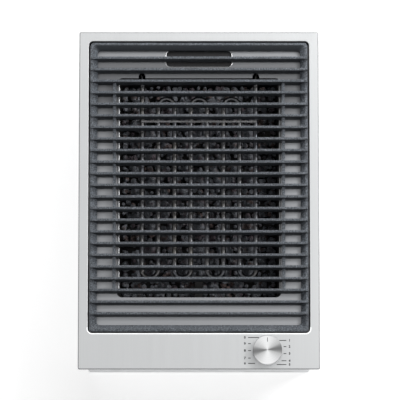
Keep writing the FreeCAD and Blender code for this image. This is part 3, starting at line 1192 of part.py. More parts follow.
def clamp_screws():
    """Four long screws from the floor to the roof of the pockets."""
    screws = []
    for axis in clamp_axes():
        low = Vec(axis.x, axis.y, CLAMP_POCKET_BOTTOM - CASING_SHEET)
        high = Vec(axis.x, axis.y, CLAMP_POCKET_TOP + CASING_SHEET)
        head = rod(CLAMP_HEAD_RADIUS, low - UP * CLAMP_HEAD_HEIGHT, low)
        screws.append(unite([rod(CLAMP_SCREW_RADIUS, low, high), head]))
    return Part.Compound(screws)


def clamp_nuts():
    """The nut under each clamp, which draws it up to the worktop."""
    nuts = []
    for axis in clamp_axes():
        foot = Vec(axis.x, axis.y, CLAMP_HUB_TOP - CLAMP_HUB_HEIGHT - REST_GAP - CLAMP_NUT_HEIGHT)
        nut = hexagon(CLAMP_NUT_WIDTH, CLAMP_NUT_HEIGHT, foot, UP)
        nuts.append(nut.cut(rod(CLAMP_SCREW_RADIUS, foot, foot + UP * CLAMP_NUT_HEIGHT)))
    return Part.Compound(nuts)


def pieces():
    """Every node of the cooktop by name."""
    shield = side_heat_shield()
    bracket = hinge_bracket()
    shell = casing_shell()
    side = casing_side(shell)
    clamps = four_corners(worktop_clamp())
    named = {
        "top_plate": top_plate(),
        "worktop_seal": worktop_seal(),
        "well": well(),
        "casing_front": casing_end(shell, -1),
        "casing_rear": casing_end(shell, 1),
        "casing_right_side": side,
        "casing_left_side": mirrored(side),
        "bottom_cover": bottom_cover(),
        "bottom_cover_screws": bottom_cover_screws(),
        "right_heat_shield": shield,
        "left_heat_shield": mirrored(shield),
        "front_heat_shield": front_heat_shield(),
        "liner_frame": liner_frame(),
        "grate": grate(),
        "lava_tray": lava_tray(),
        "lava_stones": lava_stones(),
        "heating_element": heating_element(),
        "element_tie": element_tie(),
        "element_rest": element_rest(),
        "right_hinge_bracket": bracket,
        "left_hinge_bracket": mirrored(bracket),
        "hinge_bushes": hinge_bushes(),
        "hinge_rivets": hinge_rivets(),
        "terminal_insulators": terminal_insulators(),
        "terminal_studs": terminal_studs(),
        "knob_cap": knob_cap(),
        "knob_core": knob_core(),
        "knob_clip": knob_clip(),
        "knob_seal": knob_seal(),
        "regulator_shaft": regulator_shaft(),
        "energy_regulator": energy_regulator(),
        "regulator_bracket": regulator_bracket(),
        "regulator_screws": regulator_screws(),
        "terminal_block": terminal_block(),
        "terminal_block_screws": terminal_block_screws(),
        "cable_gland": cable_gland(),
        "gland_nut": gland_nut(),
        "earth_stud": earth_stud(),
        "earth_nut": earth_nut(),
        "thermal_cutout": thermal_cutout(),
        "cutout_clamp": cutout_clamp(),
        "left_element_lead": left_element_lead(),
        "right_element_lead": right_element_lead(),
        "cutout_lead": cutout_lead(),
        "live_lead": supply_lead(0, 1, 0),
        "neutral_lead": supply_lead(1, 2, 0),
        "earth_lead": earth_lead(),
        "clamp_screws": clamp_screws(),
        "clamp_nuts": clamp_nuts(),
    }
    names = ("front_right_clamp", "front_left_clamp", "rear_right_clamp", "rear_left_clamp")
    named.update(zip(names, clamps))
    return named


def main():
    """Writes one file for each node."""
    os.makedirs("parts", exist_ok=True)
    for name, shape in pieces().items():
        solids = shape.Solids
        print(f"{name:24s} solids {len(solids):3d} faces {len(shape.Faces):4d} volume {shape.Volume:12.1f}"
              f" valid {shape.isValid()} box {shape.BoundBox}")
        shape.exportStep(os.path.join("parts", name + ".step"))


main()
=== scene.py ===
"""Built-in barbecue cooktop: finishes, fine pieces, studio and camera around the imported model."""

import logging
import math
import random
from dataclasses import dataclass, field
from enum import Enum
from functools import cache

import bmesh
import bpy
from mathutils import Matrix, Vector, noise


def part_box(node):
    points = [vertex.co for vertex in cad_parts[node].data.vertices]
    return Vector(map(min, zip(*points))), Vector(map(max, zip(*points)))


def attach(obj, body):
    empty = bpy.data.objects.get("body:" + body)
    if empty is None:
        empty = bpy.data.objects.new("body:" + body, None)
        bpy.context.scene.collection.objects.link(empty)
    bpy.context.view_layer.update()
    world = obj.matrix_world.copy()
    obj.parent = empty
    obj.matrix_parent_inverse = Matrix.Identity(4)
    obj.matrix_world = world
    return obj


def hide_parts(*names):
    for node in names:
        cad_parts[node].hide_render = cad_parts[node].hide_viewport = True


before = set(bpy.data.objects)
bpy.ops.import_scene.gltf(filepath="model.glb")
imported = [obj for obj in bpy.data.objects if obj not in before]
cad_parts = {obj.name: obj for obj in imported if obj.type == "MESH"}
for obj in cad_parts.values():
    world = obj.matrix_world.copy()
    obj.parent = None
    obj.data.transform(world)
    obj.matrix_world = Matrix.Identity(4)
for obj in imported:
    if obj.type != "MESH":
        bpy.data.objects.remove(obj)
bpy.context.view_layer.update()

log = logging.getLogger("cooktop")
MM = 0.001
WELD_REACH = 0.005 * MM
FLAT_ANGLE = math.radians(0.5)
Colour = tuple[float, float, float]
Section = tuple[tuple[float, float], ...]
Socket = bpy.types.NodeSocket
Mesh = bmesh.types.BMesh
Vert = bmesh.types.BMVert
Edge = bmesh.types.BMEdge


def grey(level: float) -> Colour:
    """A neutral colour."""
    return (level, level, level)


def shade(colour: Colour, factor: float) -> Colour:
    """A colour made lighter or darker by a factor."""
    return tuple(min(1.0, channel * factor) for channel in colour)


WHITE = grey(1.0)


class Grain(Enum):
    """The axis that a brushed finish runs along."""

    ALONG_X = 0
    ALONG_Y = 1


class NodeSheet:
    """A node tree, with short ways to add nodes and to fill their inputs."""

    def __init__(self, tree: bpy.types.NodeTree) -> None:
        """Keeps the tree that the nodes go into."""
        self.tree = tree

    def feed(self, socket: Socket, value: object) -> None:
        """Links a socket to an output, or sets its value.

        Args:
            socket: The input to fill.
            value: An output socket, a number, a vector or a colour.
        """
        if isinstance(value, Socket):
            self.tree.links.new(value, socket)
        else:
            socket.default_value = (*value, 1.0) if socket.type == "RGBA" else value

    def add(self, kind: str, inputs: dict[str | int, object] | None = None,
            **settings: object) -> bpy.types.Node:
        """Adds a node.

        Args:
            kind: The node's type, after the word that all types begin with.
            inputs: What to feed to its inputs, by their names or numbers.
            settings: Properties to set on the node.

        Returns:
            The new node.
        """
        node = self.tree.nodes.new("ShaderNode" + kind)
        for key, value in settings.items():
            setattr(node, key, value)
        for key, value in (inputs or {}).items():
            self.feed(node.inputs[key], value)
        return node

    def calc(self, first: object, operation: str, second: object = 0.0) -> Socket:
        """The result of an operation on two outputs or numbers."""
        return self.add("Math", {0: first, 1: second}, operation=operation).outputs["Value"]


class ShaderSheet(NodeSheet):
    """One material's node tree, with the patterns that the finishes use.

    Its constants are the places of a mix node's colours among its inputs and outputs.
    """

    MIX_FIRST, MIX_SECOND, MIX_RESULT = 6, 7, 2

    def __init__(self, name: str) -> None:
        """Starts a material.

        Args:
            name: The material's name.
        """
        self.material = bpy.data.materials.new(name)
        self.material.use_nodes = True
        super().__init__(self.material.node_tree)
        self.shader = self.tree.nodes["Principled BSDF"]
        coordinates = self.add("TexCoord")
        self.place = coordinates.outputs["Object"]
        self.sides = coordinates.outputs["Normal"]

    def set(self, name: str, value: object) -> None:
        """Fills one of the shader's own inputs."""
        self.feed(self.shader.inputs[name], value)

    def mapped(self, scale: Colour, location: Colour = (0.0, 0.0, 0.0)) -> Socket:
        """The object's coordinates, stretched along the axes and then moved."""
        node = self.add("Mapping", {"Vector": self.place, "Scale": scale, "Location": location})
        return node.outputs["Vector"]

    def axes(self, place: Socket) -> bpy.types.NodeOutputs:
        """A place's three values, by the names of the axes."""
        return self.add("SeparateXYZ", {"Vector": place}).outputs

    def facing(self, direction: Colour) -> Socket:
        """How far a face looks towards a direction: 1 straight at it, 0 across it."""
        node = self.add("VectorMath", {0: self.sides, 1: direction}, operation="DOT_PRODUCT")
        return node.outputs["Value"]

    def noise(self, scale: float, detail: float = 2.0, rough: float = 0.5,
              place: Socket | None = None) -> Socket:
        """Adds a cloud pattern.

        Args:
            scale: Spots per metre.
            detail: Octaves.
            rough: Share of the finer octaves.
            place: Coordinates, or None for the object's own.

        Returns:
            The pattern, 0 to 1.
        """
        node = self.add("TexNoise", {"Vector": place or self.place, "Scale": scale,
                                     "Detail": detail, "Roughness": rough})
        return node.outputs["Fac"]

    def cells(self, scale: float, output: str = "Distance") -> Socket:
        """One output of a cell pattern with a number of cells per metre."""
        return self.add("TexVoronoi", {"Vector": self.place, "Scale": scale}).outputs[output]

    def bands(self, scale: float, direction: str) -> Socket:
        """A pattern of even bands along one direction."""
        inputs = {"Vector": self.place, "Scale": scale}
        return self.add("TexWave", inputs, bands_direction=direction).outputs["Fac"]

    def ramp(self, value: Socket, *stops: tuple[float, Colour]) -> Socket:
        """Turns a value into a colour.

        Args:
            value: The pattern.
            stops: Places from 0 to 1 with their colours.

        Returns:
            The colour.
        """
        node = self.add("ValToRGB", {"Fac": value})
        elements = node.color_ramp.elements
        while len(elements) < len(stops):
            elements.new(0.5)
        for element, (position, colour) in zip(elements, stops):
            element.position = position
            element.color = (*colour, 1.0)
        return node.outputs["Color"]

    def spread(self, value: Socket, low: float, high: float,
               start: float = 0.3, end: float = 0.7) -> Socket:
        """Maps a pattern from start..end to low..high.

        Args:
            value: The pattern.
            low: Result at the start.
            high: Result at the end.
            start: Where the range of the pattern begins.
            end: Where the range of the pattern ends.

        Returns:
            The mapped value.
        """
        node = self.add("MapRange", {"Value": value, "From Min": start, "From Max": end,
                                     "To Min": low, "To Max": high})
        return node.outputs["Result"]

    def mix(self, share: object, first: object, second: object, blend: str = "MIX") -> Socket:
        """Mixes two colours.

        Args:
            share: How much of the second colour.
            first: A colour or an output.
            second: A colour or an output.
            blend: The blend's name.

        Returns:
            The mixed colour.
        """
        inputs = {"Factor": share, self.MIX_FIRST: first, self.MIX_SECOND: second}
        return self.add("Mix", inputs, data_type="RGBA", blend_type=blend).outputs[self.MIX_RESULT]

    def times(self, first: Socket, second: Socket) -> Socket:
        """One colour multiplied by another."""
        return self.mix(1.0, first, second, "MULTIPLY")

    def bump(self, height: Socket, depth: float, strength: float = 0.5,
             below: Socket | None = None) -> Socket:
        """Raises the surface by a pattern.

        Args:
            height: The pattern.
            depth: The height of the pattern's full range, in metres.
            strength: How much of it shows.
            below: A coarser bump that this one lies on.

        Returns:
            The bent normal.
        """
        node = self.add("Bump", {"Strength": strength, "Distance": depth, "Height": height})
        if below is not None:
            self.feed(node.inputs["Normal"], below)
        return node.outputs["Normal"]


@dataclass(frozen=True)
class Finish:
    """A surface finish, plain until a subclass dresses it."""

    name: str
    colour: Colour
    roughness: float = 0.5
    metallic: float = 0.0

    @cache
    def material(self) -> bpy.types.Material:
        """Builds the material the first time, and hands it out from then on.

        Returns:
            The finished material.
        """
        sheet = ShaderSheet(self.name)
        sheet.set("Base Color", self.colour)
        sheet.set("Roughness", self.roughness)
        sheet.set("Metallic", self.metallic)
        self.dress(sheet)
        return sheet.material

    def dress(self, sheet: ShaderSheet) -> None:
        """Adds the finish's own patterns, of which a plain one has none."""


@dataclass(frozen=True)
class BrushedSheet(Finish):
    """Sheet steel brushed with straight fine strokes."""

    grain: Grain = Grain.ALONG_Y
    stroke: float = 2600.0
    stroke_length: float = 0.05
    contrast: float = 0.06
    cloud: float = 0.03
    clouds: float = 9.0
    depth: float = 0.01 * MM

    def dress(self, sheet: ShaderSheet) -> None:
        """Adds strokes, slow clouds and a shallow relief.

        Args:
            sheet: The node tree to dress.
        """
        scale = [1.0, 1.0, 1.0]
        scale[self.grain.value] = 1.0 / (self.stroke * self.stroke_length)
        place = sheet.mapped(tuple(scale))
        fine = sheet.noise(self.stroke, 2.0, 0.6, place)
        coarse = sheet.noise(self.stroke / 9, 2.0, 0.5, place)
        strokes = sheet.calc(sheet.calc(fine, "ADD", coarse), "MULTIPLY", 0.5)
        brushed = sheet.ramp(strokes, (0.3, shade(self.colour, 1 - self.contrast)),
                             (0.7, shade(self.colour, 1 + self.contrast)))
        tint = sheet.ramp(sheet.noise(self.clouds), (0.3, grey(1 - self.cloud)), (0.7, WHITE))
        sheet.set("Base Color", self.banded(sheet, sheet.times(brushed, tint)))
        sheet.set("Roughness", sheet.spread(strokes, self.roughness + 0.06, self.roughness - 0.06))
        sheet.set("Normal", sheet.bump(fine, self.depth))

    def banded(self, sheet: ShaderSheet, tone: Socket) -> Socket:
        """The brushed tone, which a plain brushed sheet leaves as it is."""
        return tone


@dataclass(frozen=True)
class RearBandSheet(BrushedSheet):
    """Brushed sheet whose colour is darker in a band across it, over the rear bends of the heating
    element.
    """

    band: tuple[float, float] = (0.08, 0.22)
    dullest: tuple[float, float] = (0.5, 0.86)  # shares of the band's width
    dulled: float = 0.52

    def banded(self, sheet: ShaderSheet, tone: Socket) -> Socket:
        """Darkens the band.

        Args:
            sheet: The node tree.
            tone: The brushed tone.

        Returns:
            The tone with the band.
        """
        along = sheet.spread(sheet.axes(sheet.place)["Y"], 0.0, 1.0, *self.band)
        dull = [(share, grey(self.dulled)) for share in self.dullest]
        return sheet.times(tone, sheet.ramp(along, (0.0, WHITE), *dull, (1.0, WHITE)))


@dataclass(frozen=True)
class CastEnamel(Finish):
    """Cast iron under a thin matt enamel: a sand-cast skin with light and dark specks, and painted
    shade on the faces that look to the front.
    """

    speck: float = 520.0
    slow: float = 38.0
    depth: float = 0.18 * MM
    mirror: float = 0.15
    # Painted shade: faces that look to this side, away from the lamps, are darkened.
    painted_shade_side: Colour = (0.0, -1.0, 0.0)
    painted_shade_share: float = 0.92
    painted_shade_range: tuple[float, float] = (0.25, 0.62)  # how far a face looks to that side
    painted_shade_level: float = 0.42

    def dress(self, sheet: ShaderSheet) -> None:
        """Adds the specks, a slow change of tone, the rough skin, and painted shade that darkens
        the flanks looking to the front to a plain tone.

        Args:
            sheet: The node tree to dress.
        """
        skin = sheet.noise(self.speck, 4.0, 0.65)
        slow = sheet.noise(self.slow, 3.0)
        specks = sheet.ramp(skin, (0.38, shade(self.colour, 0.55)), (0.50, self.colour),
                            (0.66, shade(self.colour, 1.9)))
        cast = sheet.times(specks, sheet.ramp(slow, (0.3, (0.84, 0.86, 0.88)), (0.7, WHITE)))
        # Painted shade on the front flanks: a plain darker tone, mixed in by how far a face looks
        # to the front.
        facing = sheet.facing(self.painted_shade_side)
        flank_shade = sheet.spread(facing, 0.0, self.painted_shade_share, *self.painted_shade_range)
        sheet.set("Base Color", sheet.mix(flank_shade, cast, shade(self.colour, self.painted_shade_level)))
        sheet.set("Roughness", sheet.spread(skin, self.roughness + 0.1, self.roughness - 0.08))
        sheet.set("Specular IOR Level", self.mirror)
        coarse = sheet.bump(slow, self.depth * 2)
        sheet.set("Normal", sheet.bump(skin, self.depth, 0.8, coarse))


@dataclass(frozen=True)
class LavaRock(Finish):
    """Broken lava: grey to rust and plum, full of small holes."""

    rust: Colour = (0.350, 0.262, 0.248)
    plum: Colour = (0.320, 0.260, 0.292)
    patch: float = 52.0
    hole: float = 420.0
    hole_depth: float = 1.6 * MM
    grain: float = 1500.0
    grain_depth: float = 0.4 * MM

    def dress(self, sheet: ShaderSheet) -> None:
        """Adds patches of colour, dark holes and their relief.

        Args:
            sheet: The node tree to dress.
        """
        patches = sheet.noise(self.patch, 2.0, 0.4)
        base = sheet.ramp(patches, (0.34, self.plum), (0.44, self.colour),
                          (0.56, shade(self.colour, 1.5)), (0.66, self.rust))
        holes = sheet.cells(self.hole)
        grit = sheet.noise(self.grain, 3.0, 0.7)
        holed = sheet.times(base, sheet.ramp(holes, (0.12, grey(0.28)), (0.42, WHITE)))
        lit = sheet.ramp(grit, (0.35, grey(0.7)), (0.7, grey(1.5)))
        sheet.set("Base Color", sheet.times(holed, lit))
        coarse = sheet.bump(holes, self.hole_depth, 0.9)
        sheet.set("Normal", sheet.bump(grit, self.grain_depth, 0.8, coarse))


@dataclass(frozen=True)
class SpunMetal(Finish):
    """A turned face: fine rings about an upright axis, with a painted sheen of light and dark
    wedges that fans out from it.
    """

    middle: Colour = (0.0, 0.0, 0.0)
    rings: float = 1500.0
    ring_depth: float = 0.01 * MM
    painted_sheen_turn: float = math.radians(6)

    def dress(self, sheet: ShaderSheet) -> None:
        """Adds the rings and the painted sheen, a fan of lighter and darker wedges in the colour.

        Args:
            sheet: The node tree to dress.
        """
        offset = tuple(-value for value in self.middle)
        place = sheet.axes(sheet.mapped((1.0, 1.0, 1.0), offset))
        x, y = place["X"], place["Y"]
        square = sheet.calc(sheet.calc(x, "MULTIPLY", x), "ADD", sheet.calc(y, "MULTIPLY", y))
        radius = sheet.calc(square, "POWER", 0.5)
        ring = sheet.add("TexNoise", {"W": radius, "Scale": self.rings, "Detail": 3.0},
                         noise_dimensions="1D").outputs["Fac"]
        # Painted sheen: the colour turns lighter and darker in wedges round the axis.
        turned = sheet.calc(sheet.calc(y, "ARCTAN2", x), "SUBTRACT", self.painted_sheen_turn)
        sheen_lobes = sheet.calc(sheet.calc(turned, "MULTIPLY", 2.0), "COSINE")
        painted_sheen = sheet.calc(sheet.calc(sheen_lobes, "MULTIPLY", 0.5), "ADD", 0.5)
        tone = sheet.ramp(painted_sheen, (0.0, shade(self.colour, 1.15)), (0.30, self.colour),
                          (0.84, shade(self.colour, 0.70)), (1.0, shade(self.colour, 0.26)))
        line = sheet.ramp(ring, (0.3, grey(0.86)), (0.7, WHITE))
        sheet.set("Base Color", sheet.times(tone, line))
        sheet.set("Normal", sheet.bump(ring, self.ring_depth))


@dataclass(frozen=True)
class SpangledZinc(Finish):
    """Galvanised sheet with its flat crystals."""

    crystal: float = 90.0
    film: float = 25.0
    depth: float = 0.06 * MM

    def dress(self, sheet: ShaderSheet) -> None:
        """Adds the crystals and a dull film.

        Args:
            sheet: The node tree to dress.
        """
        tone = sheet.ramp(sheet.cells(self.crystal, "Color"), (0.0, shade(self.colour, 0.86)),
                          (1.0, shade(self.colour, 1.08)))
        film = sheet.noise(self.film, 3.0)
        dulled = sheet.mix(sheet.spread(film, 0.0, 0.35), tone, shade(self.colour, 0.8))
        sheet.set("Base Color", dulled)
        sheet.set("Roughness", sheet.spread(film, self.roughness - 0.06, self.roughness + 0.12))
        sheet.set("Normal", sheet.bump(film, self.depth, 0.4))


@dataclass(frozen=True)
class Mottled(Finish):
    """Any cast, moulded, turned or fired surface with a faint mottle and a fine relief."""

    spot: float = 900.0
    contrast: float = 0.10
    depth: float = 0.03 * MM
    slow: float = 20.0

    def dress(self, sheet: ShaderSheet) -> None:
        """Adds the mottle.

        Args:
            sheet: The node tree to dress.
        """
        fine = sheet.noise(self.spot, 3.0, 0.6)
        slow = sheet.noise(self.slow, 3.0)
        both = sheet.calc(sheet.calc(fine, "ADD", slow), "MULTIPLY", 0.5)
        sheet.set("Base Color", sheet.ramp(both, (0.35, shade(self.colour, 1 - self.contrast)),
                                           (0.65, shade(self.colour, 1 + self.contrast))))
        sheet.set("Roughness", sheet.spread(slow, self.roughness - 0.05, self.roughness + 0.08))
        sheet.set("Normal", sheet.bump(fine, self.depth))


@dataclass(frozen=True)
class HeatTinted(Finish):
    """A heater sheath: dark oxide with straw and blue heat colours in slow bands."""

    straw: Colour = (0.185, 0.178, 0.168)
    blue: Colour = (0.150, 0.158, 0.178)
    band: float = 16.0
    scale: float = 1300.0
    depth: float = 0.04 * MM

    def dress(self, sheet: ShaderSheet) -> None:
        """Adds the heat colours and the scale of the oxide.

        Args:
            sheet: The node tree to dress.
        """
        fine = sheet.noise(self.scale, 3.0, 0.6)
        tint = sheet.ramp(sheet.noise(self.band), (0.32, self.blue), (0.5, self.colour),
                          (0.68, self.straw))
        grain = sheet.ramp(fine, (0.3, grey(0.8)), (0.7, WHITE))
        sheet.set("Base Color", sheet.times(tint, grain))
        sheet.set("Roughness", sheet.spread(fine, self.roughness - 0.05, self.roughness + 0.1))
        sheet.set("Normal", sheet.bump(fine, self.depth))


@dataclass(frozen=True)
class Threaded(Finish):
    """Zinc-plated thread: fine turns up an upright screw."""

    pitch: float = 0.8 * MM
    depth: float = 0.4 * MM

    def dress(self, sheet: ShaderSheet) -> None:
        """Adds the turns of the thread.

        Args:
            sheet: The node tree to dress.
        """
        turns = sheet.bands(math.pi / (10 * self.pitch), "Z")
        sheet.set("Base Color", sheet.ramp(turns, (0.0, shade(self.colour, 0.5)),
                                           (0.6, self.colour)))
        sheet.set("Normal", sheet.bump(turns, self.depth, 0.8))


@dataclass(frozen=True)
class StripedSleeve(Finish):
    """An earth sleeve: green with a yellow stripe that winds along it."""

    stripe: Colour = (0.62, 0.52, 0.03)
    stripes: float = 22.0
    spot: float = 900.0
    depth: float = 0.02 * MM

    def dress(self, sheet: ShaderSheet) -> None:
        """Adds the stripe.

        Args:
            sheet: The node tree to dress.
        """
        stripes = sheet.bands(self.stripes, "DIAGONAL")
        sheet.set("Base Color", sheet.ramp(stripes, (0.48, self.colour), (0.52, self.stripe)))
        sheet.set("Normal", sheet.bump(sheet.noise(self.spot), self.depth, 0.4))


PLATE_STEEL = BrushedSheet("plate_steel", (0.50, 0.508, 0.513), 0.40, 1.0, contrast=0.03,
                           cloud=0.015)
FRAME_STEEL = RearBandSheet("frame_steel", (0.34, 0.348, 0.362), 0.42, 1.0, grain=Grain.ALONG_X,
                              contrast=0.08)
# The well's steel is made nearly black, so that the finger slot and the gap round the frame look as
# dark as the shade in them: painted shade.
WELL_PAINTED_SHADE = BrushedSheet("well_painted_shade", (0.050, 0.050, 0.052), 0.42, 0.9, contrast=0.10)
TRAY_STEEL = BrushedSheet("tray_steel", (0.028, 0.027, 0.027), 0.55, 0.6, grain=Grain.ALONG_X,
                          contrast=0.10)
CAST_IRON = CastEnamel("cast_iron", (0.166, 0.180, 0.199), 0.50)
LAVA = LavaRock("lava", (0.345, 0.360, 0.395), 0.85)
# A brighter steel than the plate's, laid only along the front of the opening: a painted highlight.
PAINTED_HIGHLIGHT_EDGE = BrushedSheet("painted_highlight_edge", (0.86, 0.87, 0.875), 0.56, 1.0, contrast=0.02)
POLISHED_ROLL = BrushedSheet("polished_roll", (0.72, 0.73, 0.735), 0.22, 1.0, contrast=0.02)
BENT_EDGE = BrushedSheet("bent_edge", (0.22, 0.223, 0.228), 0.26, 1.0, contrast=0.04)
# The plate's hemmed edge, in a much darker steel than the plate, so that it shows as a dark
# outline: painted shade.
HEM_PAINTED_SHADE = BrushedSheet("hem_painted_shade", (0.11, 0.112, 0.115), 0.40, 1.0, contrast=0.02)
GALVANISED = SpangledZinc("galvanised", (0.66, 0.67, 0.68), 0.42, 0.85)
ALUMINISED = Mottled("aluminised", (0.58, 0.585, 0.59), 0.42, 0.9, spot=500.0, contrast=0.06)
SHEATH = HeatTinted("heater_sheath", (0.175, 0.176, 0.182), 0.28, 0.9)
TIE_STEEL = Mottled("tie_steel", (0.62, 0.62, 0.63), 0.30, 1.0, contrast=0.08)
DARK_MOULDING = Mottled("dark_moulding", (0.022, 0.022, 0.024), 0.45, spot=1600.0, contrast=0.2)
PALE_MOULDING = Mottled("pale_moulding", (0.60, 0.58, 0.52), spot=1200.0, contrast=0.05)
FIRED_CERAMIC = Mottled("fired_ceramic", (0.72, 0.69, 0.62), 0.62, spot=700.0, contrast=0.06,
                        depth=0.06 * MM)
BRONZE = Mottled("bronze", (0.46, 0.30, 0.14), 0.35, 1.0, spot=1200.0, contrast=0.12)
ZINC = Mottled("zinc_plate", (0.56, 0.57, 0.58), 0.32, 1.0, spot=800.0, contrast=0.08)
ZINC_THREAD = Threaded("zinc_thread", (0.56, 0.57, 0.58), 0.32, 1.0)
FOAM = Mottled("seal_foam", (0.035, 0.035, 0.036), 0.85, spot=1400.0, contrast=0.4, depth=0.3 * MM)
LEAD_SLEEVE = Mottled("lead_sleeve", (0.36, 0.07, 0.045), 0.55, spot=1000.0)
NEUTRAL_SLEEVE = Mottled("neutral_sleeve", (0.05, 0.13, 0.36), 0.55, spot=1000.0)
LIVE_SLEEVE = Mottled("live_sleeve", (0.16, 0.08, 0.04), 0.55, spot=1000.0)
EARTH_SLEEVE = StripedSleeve("earth_sleeve", (0.04, 0.22, 0.05))
PRINT_INK = Mottled("print_ink", (0.006, 0.006, 0.007), 0.9, spot=2200.0, contrast=0.2,
                    depth=0.005 * MM)

NODE_FINISHES: dict[Finish, tuple[str, ...]] = {
    PLATE_STEEL: ("top_plate",),
    FRAME_STEEL: ("liner_frame",),
    WELL_PAINTED_SHADE: ("well",),
    TRAY_STEEL: ("lava_tray", "element_rest"),
    GALVANISED: ("casing_front", "casing_rear", "casing_right_side", "casing_left_side",
                 "bottom_cover", "regulator_bracket", "right_hinge_bracket",
                 "left_hinge_bracket", "cutout_clamp"),
    ALUMINISED: ("right_heat_shield", "left_heat_shield", "front_heat_shield"),
    SHEATH: ("heating_element",),
    TIE_STEEL: ("element_tie",),
    DARK_MOULDING: ("knob_core", "energy_regulator", "cable_gland", "gland_nut"),
    PALE_MOULDING: ("terminal_block",),
    FIRED_CERAMIC: ("terminal_insulators", "thermal_cutout"),
    BRONZE: ("hinge_bushes",),
    ZINC: ("bottom_cover_screws", "hinge_rivets", "regulator_screws", "terminal_block_screws",
           "earth_stud", "earth_nut", "clamp_nuts", "terminal_studs", "regulator_shaft",
           "knob_clip", "front_right_clamp", "front_left_clamp", "rear_right_clamp",
           "rear_left_clamp"),
    ZINC_THREAD: ("clamp_screws",),
    FOAM: ("worktop_seal", "knob_seal"),
    LEAD_SLEEVE: ("left_element_lead", "right_element_lead", "cutout_lead"),
    LIVE_SLEEVE: ("live_lead",),
    NEUTRAL_SLEEVE: ("neutral_lead",),
    EARTH_SLEEVE: ("earth_lead",),
}


def placed(name: str, data: bpy.types.ID) -> bpy.types.Object:
    """Makes an object and links it to the scene.

    Args:
        name: The object's name.
        data: What it shows: a mesh, a curve, a lamp or a camera.

    Returns:
        The new object.
    """
    made = bpy.data.objects.new(name, data)
    bpy.context.scene.collection.objects.link(made)
    return made


def middle_of(box: tuple[Vector, Vector], level: float) -> Vector:
    """The middle of a box as seen from above, at a level."""
    low, high = box
    return Vector(((low.x + high.x) / 2, (low.y + high.y) / 2, level))


def sort_of(parts: list[object], kind: type) -> list[object]:
    """The parts of a mesh that are of one kind, such as vertices."""
    return [part for part in parts if isinstance(part, kind)]


def make_piece(name: str, mesh: Mesh, finish: Finish, body: str,
               smooth_angle: float = math.radians(40)) -> bpy.types.Object:
    """Turns a bmesh into a piece that rides on a body.

    Args:
        name: The piece's name.
        mesh: Its shape, which is freed.
        finish: Its finish.
        body: The body that it rides on.
        smooth_angle: Edges sharper than this stay sharp.

    Returns:
        The new object.
    """
    for face in mesh.faces:
        face.smooth = True
    for edge in mesh.edges:
        edge.smooth = len(edge.link_faces) != 2 or edge.calc_face_angle(0.0) < smooth_angle
    data = bpy.data.meshes.new(name)
    mesh.to_mesh(data)
    mesh.free()
    data.materials.append(finish.material())
    made = placed(name, data)
    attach(made, body)
    log.info("piece %s: %d faces on %s", name, len(data.polygons), body)
    return made


def dress_nodes() -> None:
    """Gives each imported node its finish."""
    for finish, names in NODE_FINISHES.items():
        for name in names:
            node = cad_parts[name]
            node.data.materials.clear()
            node.data.materials.append(finish.material())
    log.info("dressed %d packed nodes", sum(len(names) for names in NODE_FINISHES.values()))


def copy_of(node: str) -> Mesh:
    """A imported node's mesh as one joined surface with whole flat faces.

    Args:
        node: The node's name.

    Returns:
        The new bmesh.
    """
    mesh = bmesh.new()
    mesh.from_mesh(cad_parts[node].data)
    bmesh.ops.remove_doubles(mesh, verts=mesh.verts, dist=WELD_REACH)
    bmesh.ops.dissolve_limit(mesh, angle_limit=FLAT_ANGLE, verts=mesh.verts, edges=mesh.edges)
    return mesh


@dataclass
class Grate:
    """The cast-iron grate with the soft edges that a casting has."""

    edge_round: float = 0.55 * MM
    round_steps: int = 2
    sharp: float = math.radians(30)
    smooth: float = math.radians(70)

    def build(self) -> None:
        """Rounds every edge of the grate."""
        mesh = copy_of("grate")
        edges = [edge for edge in mesh.edges
                 if len(edge.link_faces) == 2 and edge.calc_face_angle(0.0) > self.sharp]
        bmesh.ops.bevel(mesh, geom=edges, offset=self.edge_round, offset_type="OFFSET",
                        affect="EDGES", segments=self.round_steps, profile=0.5, material=-1,
                        clamp_overlap=True)
        grate = make_piece("cast_grate", mesh, CAST_IRON, "grate", self.smooth)
        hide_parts("grate")


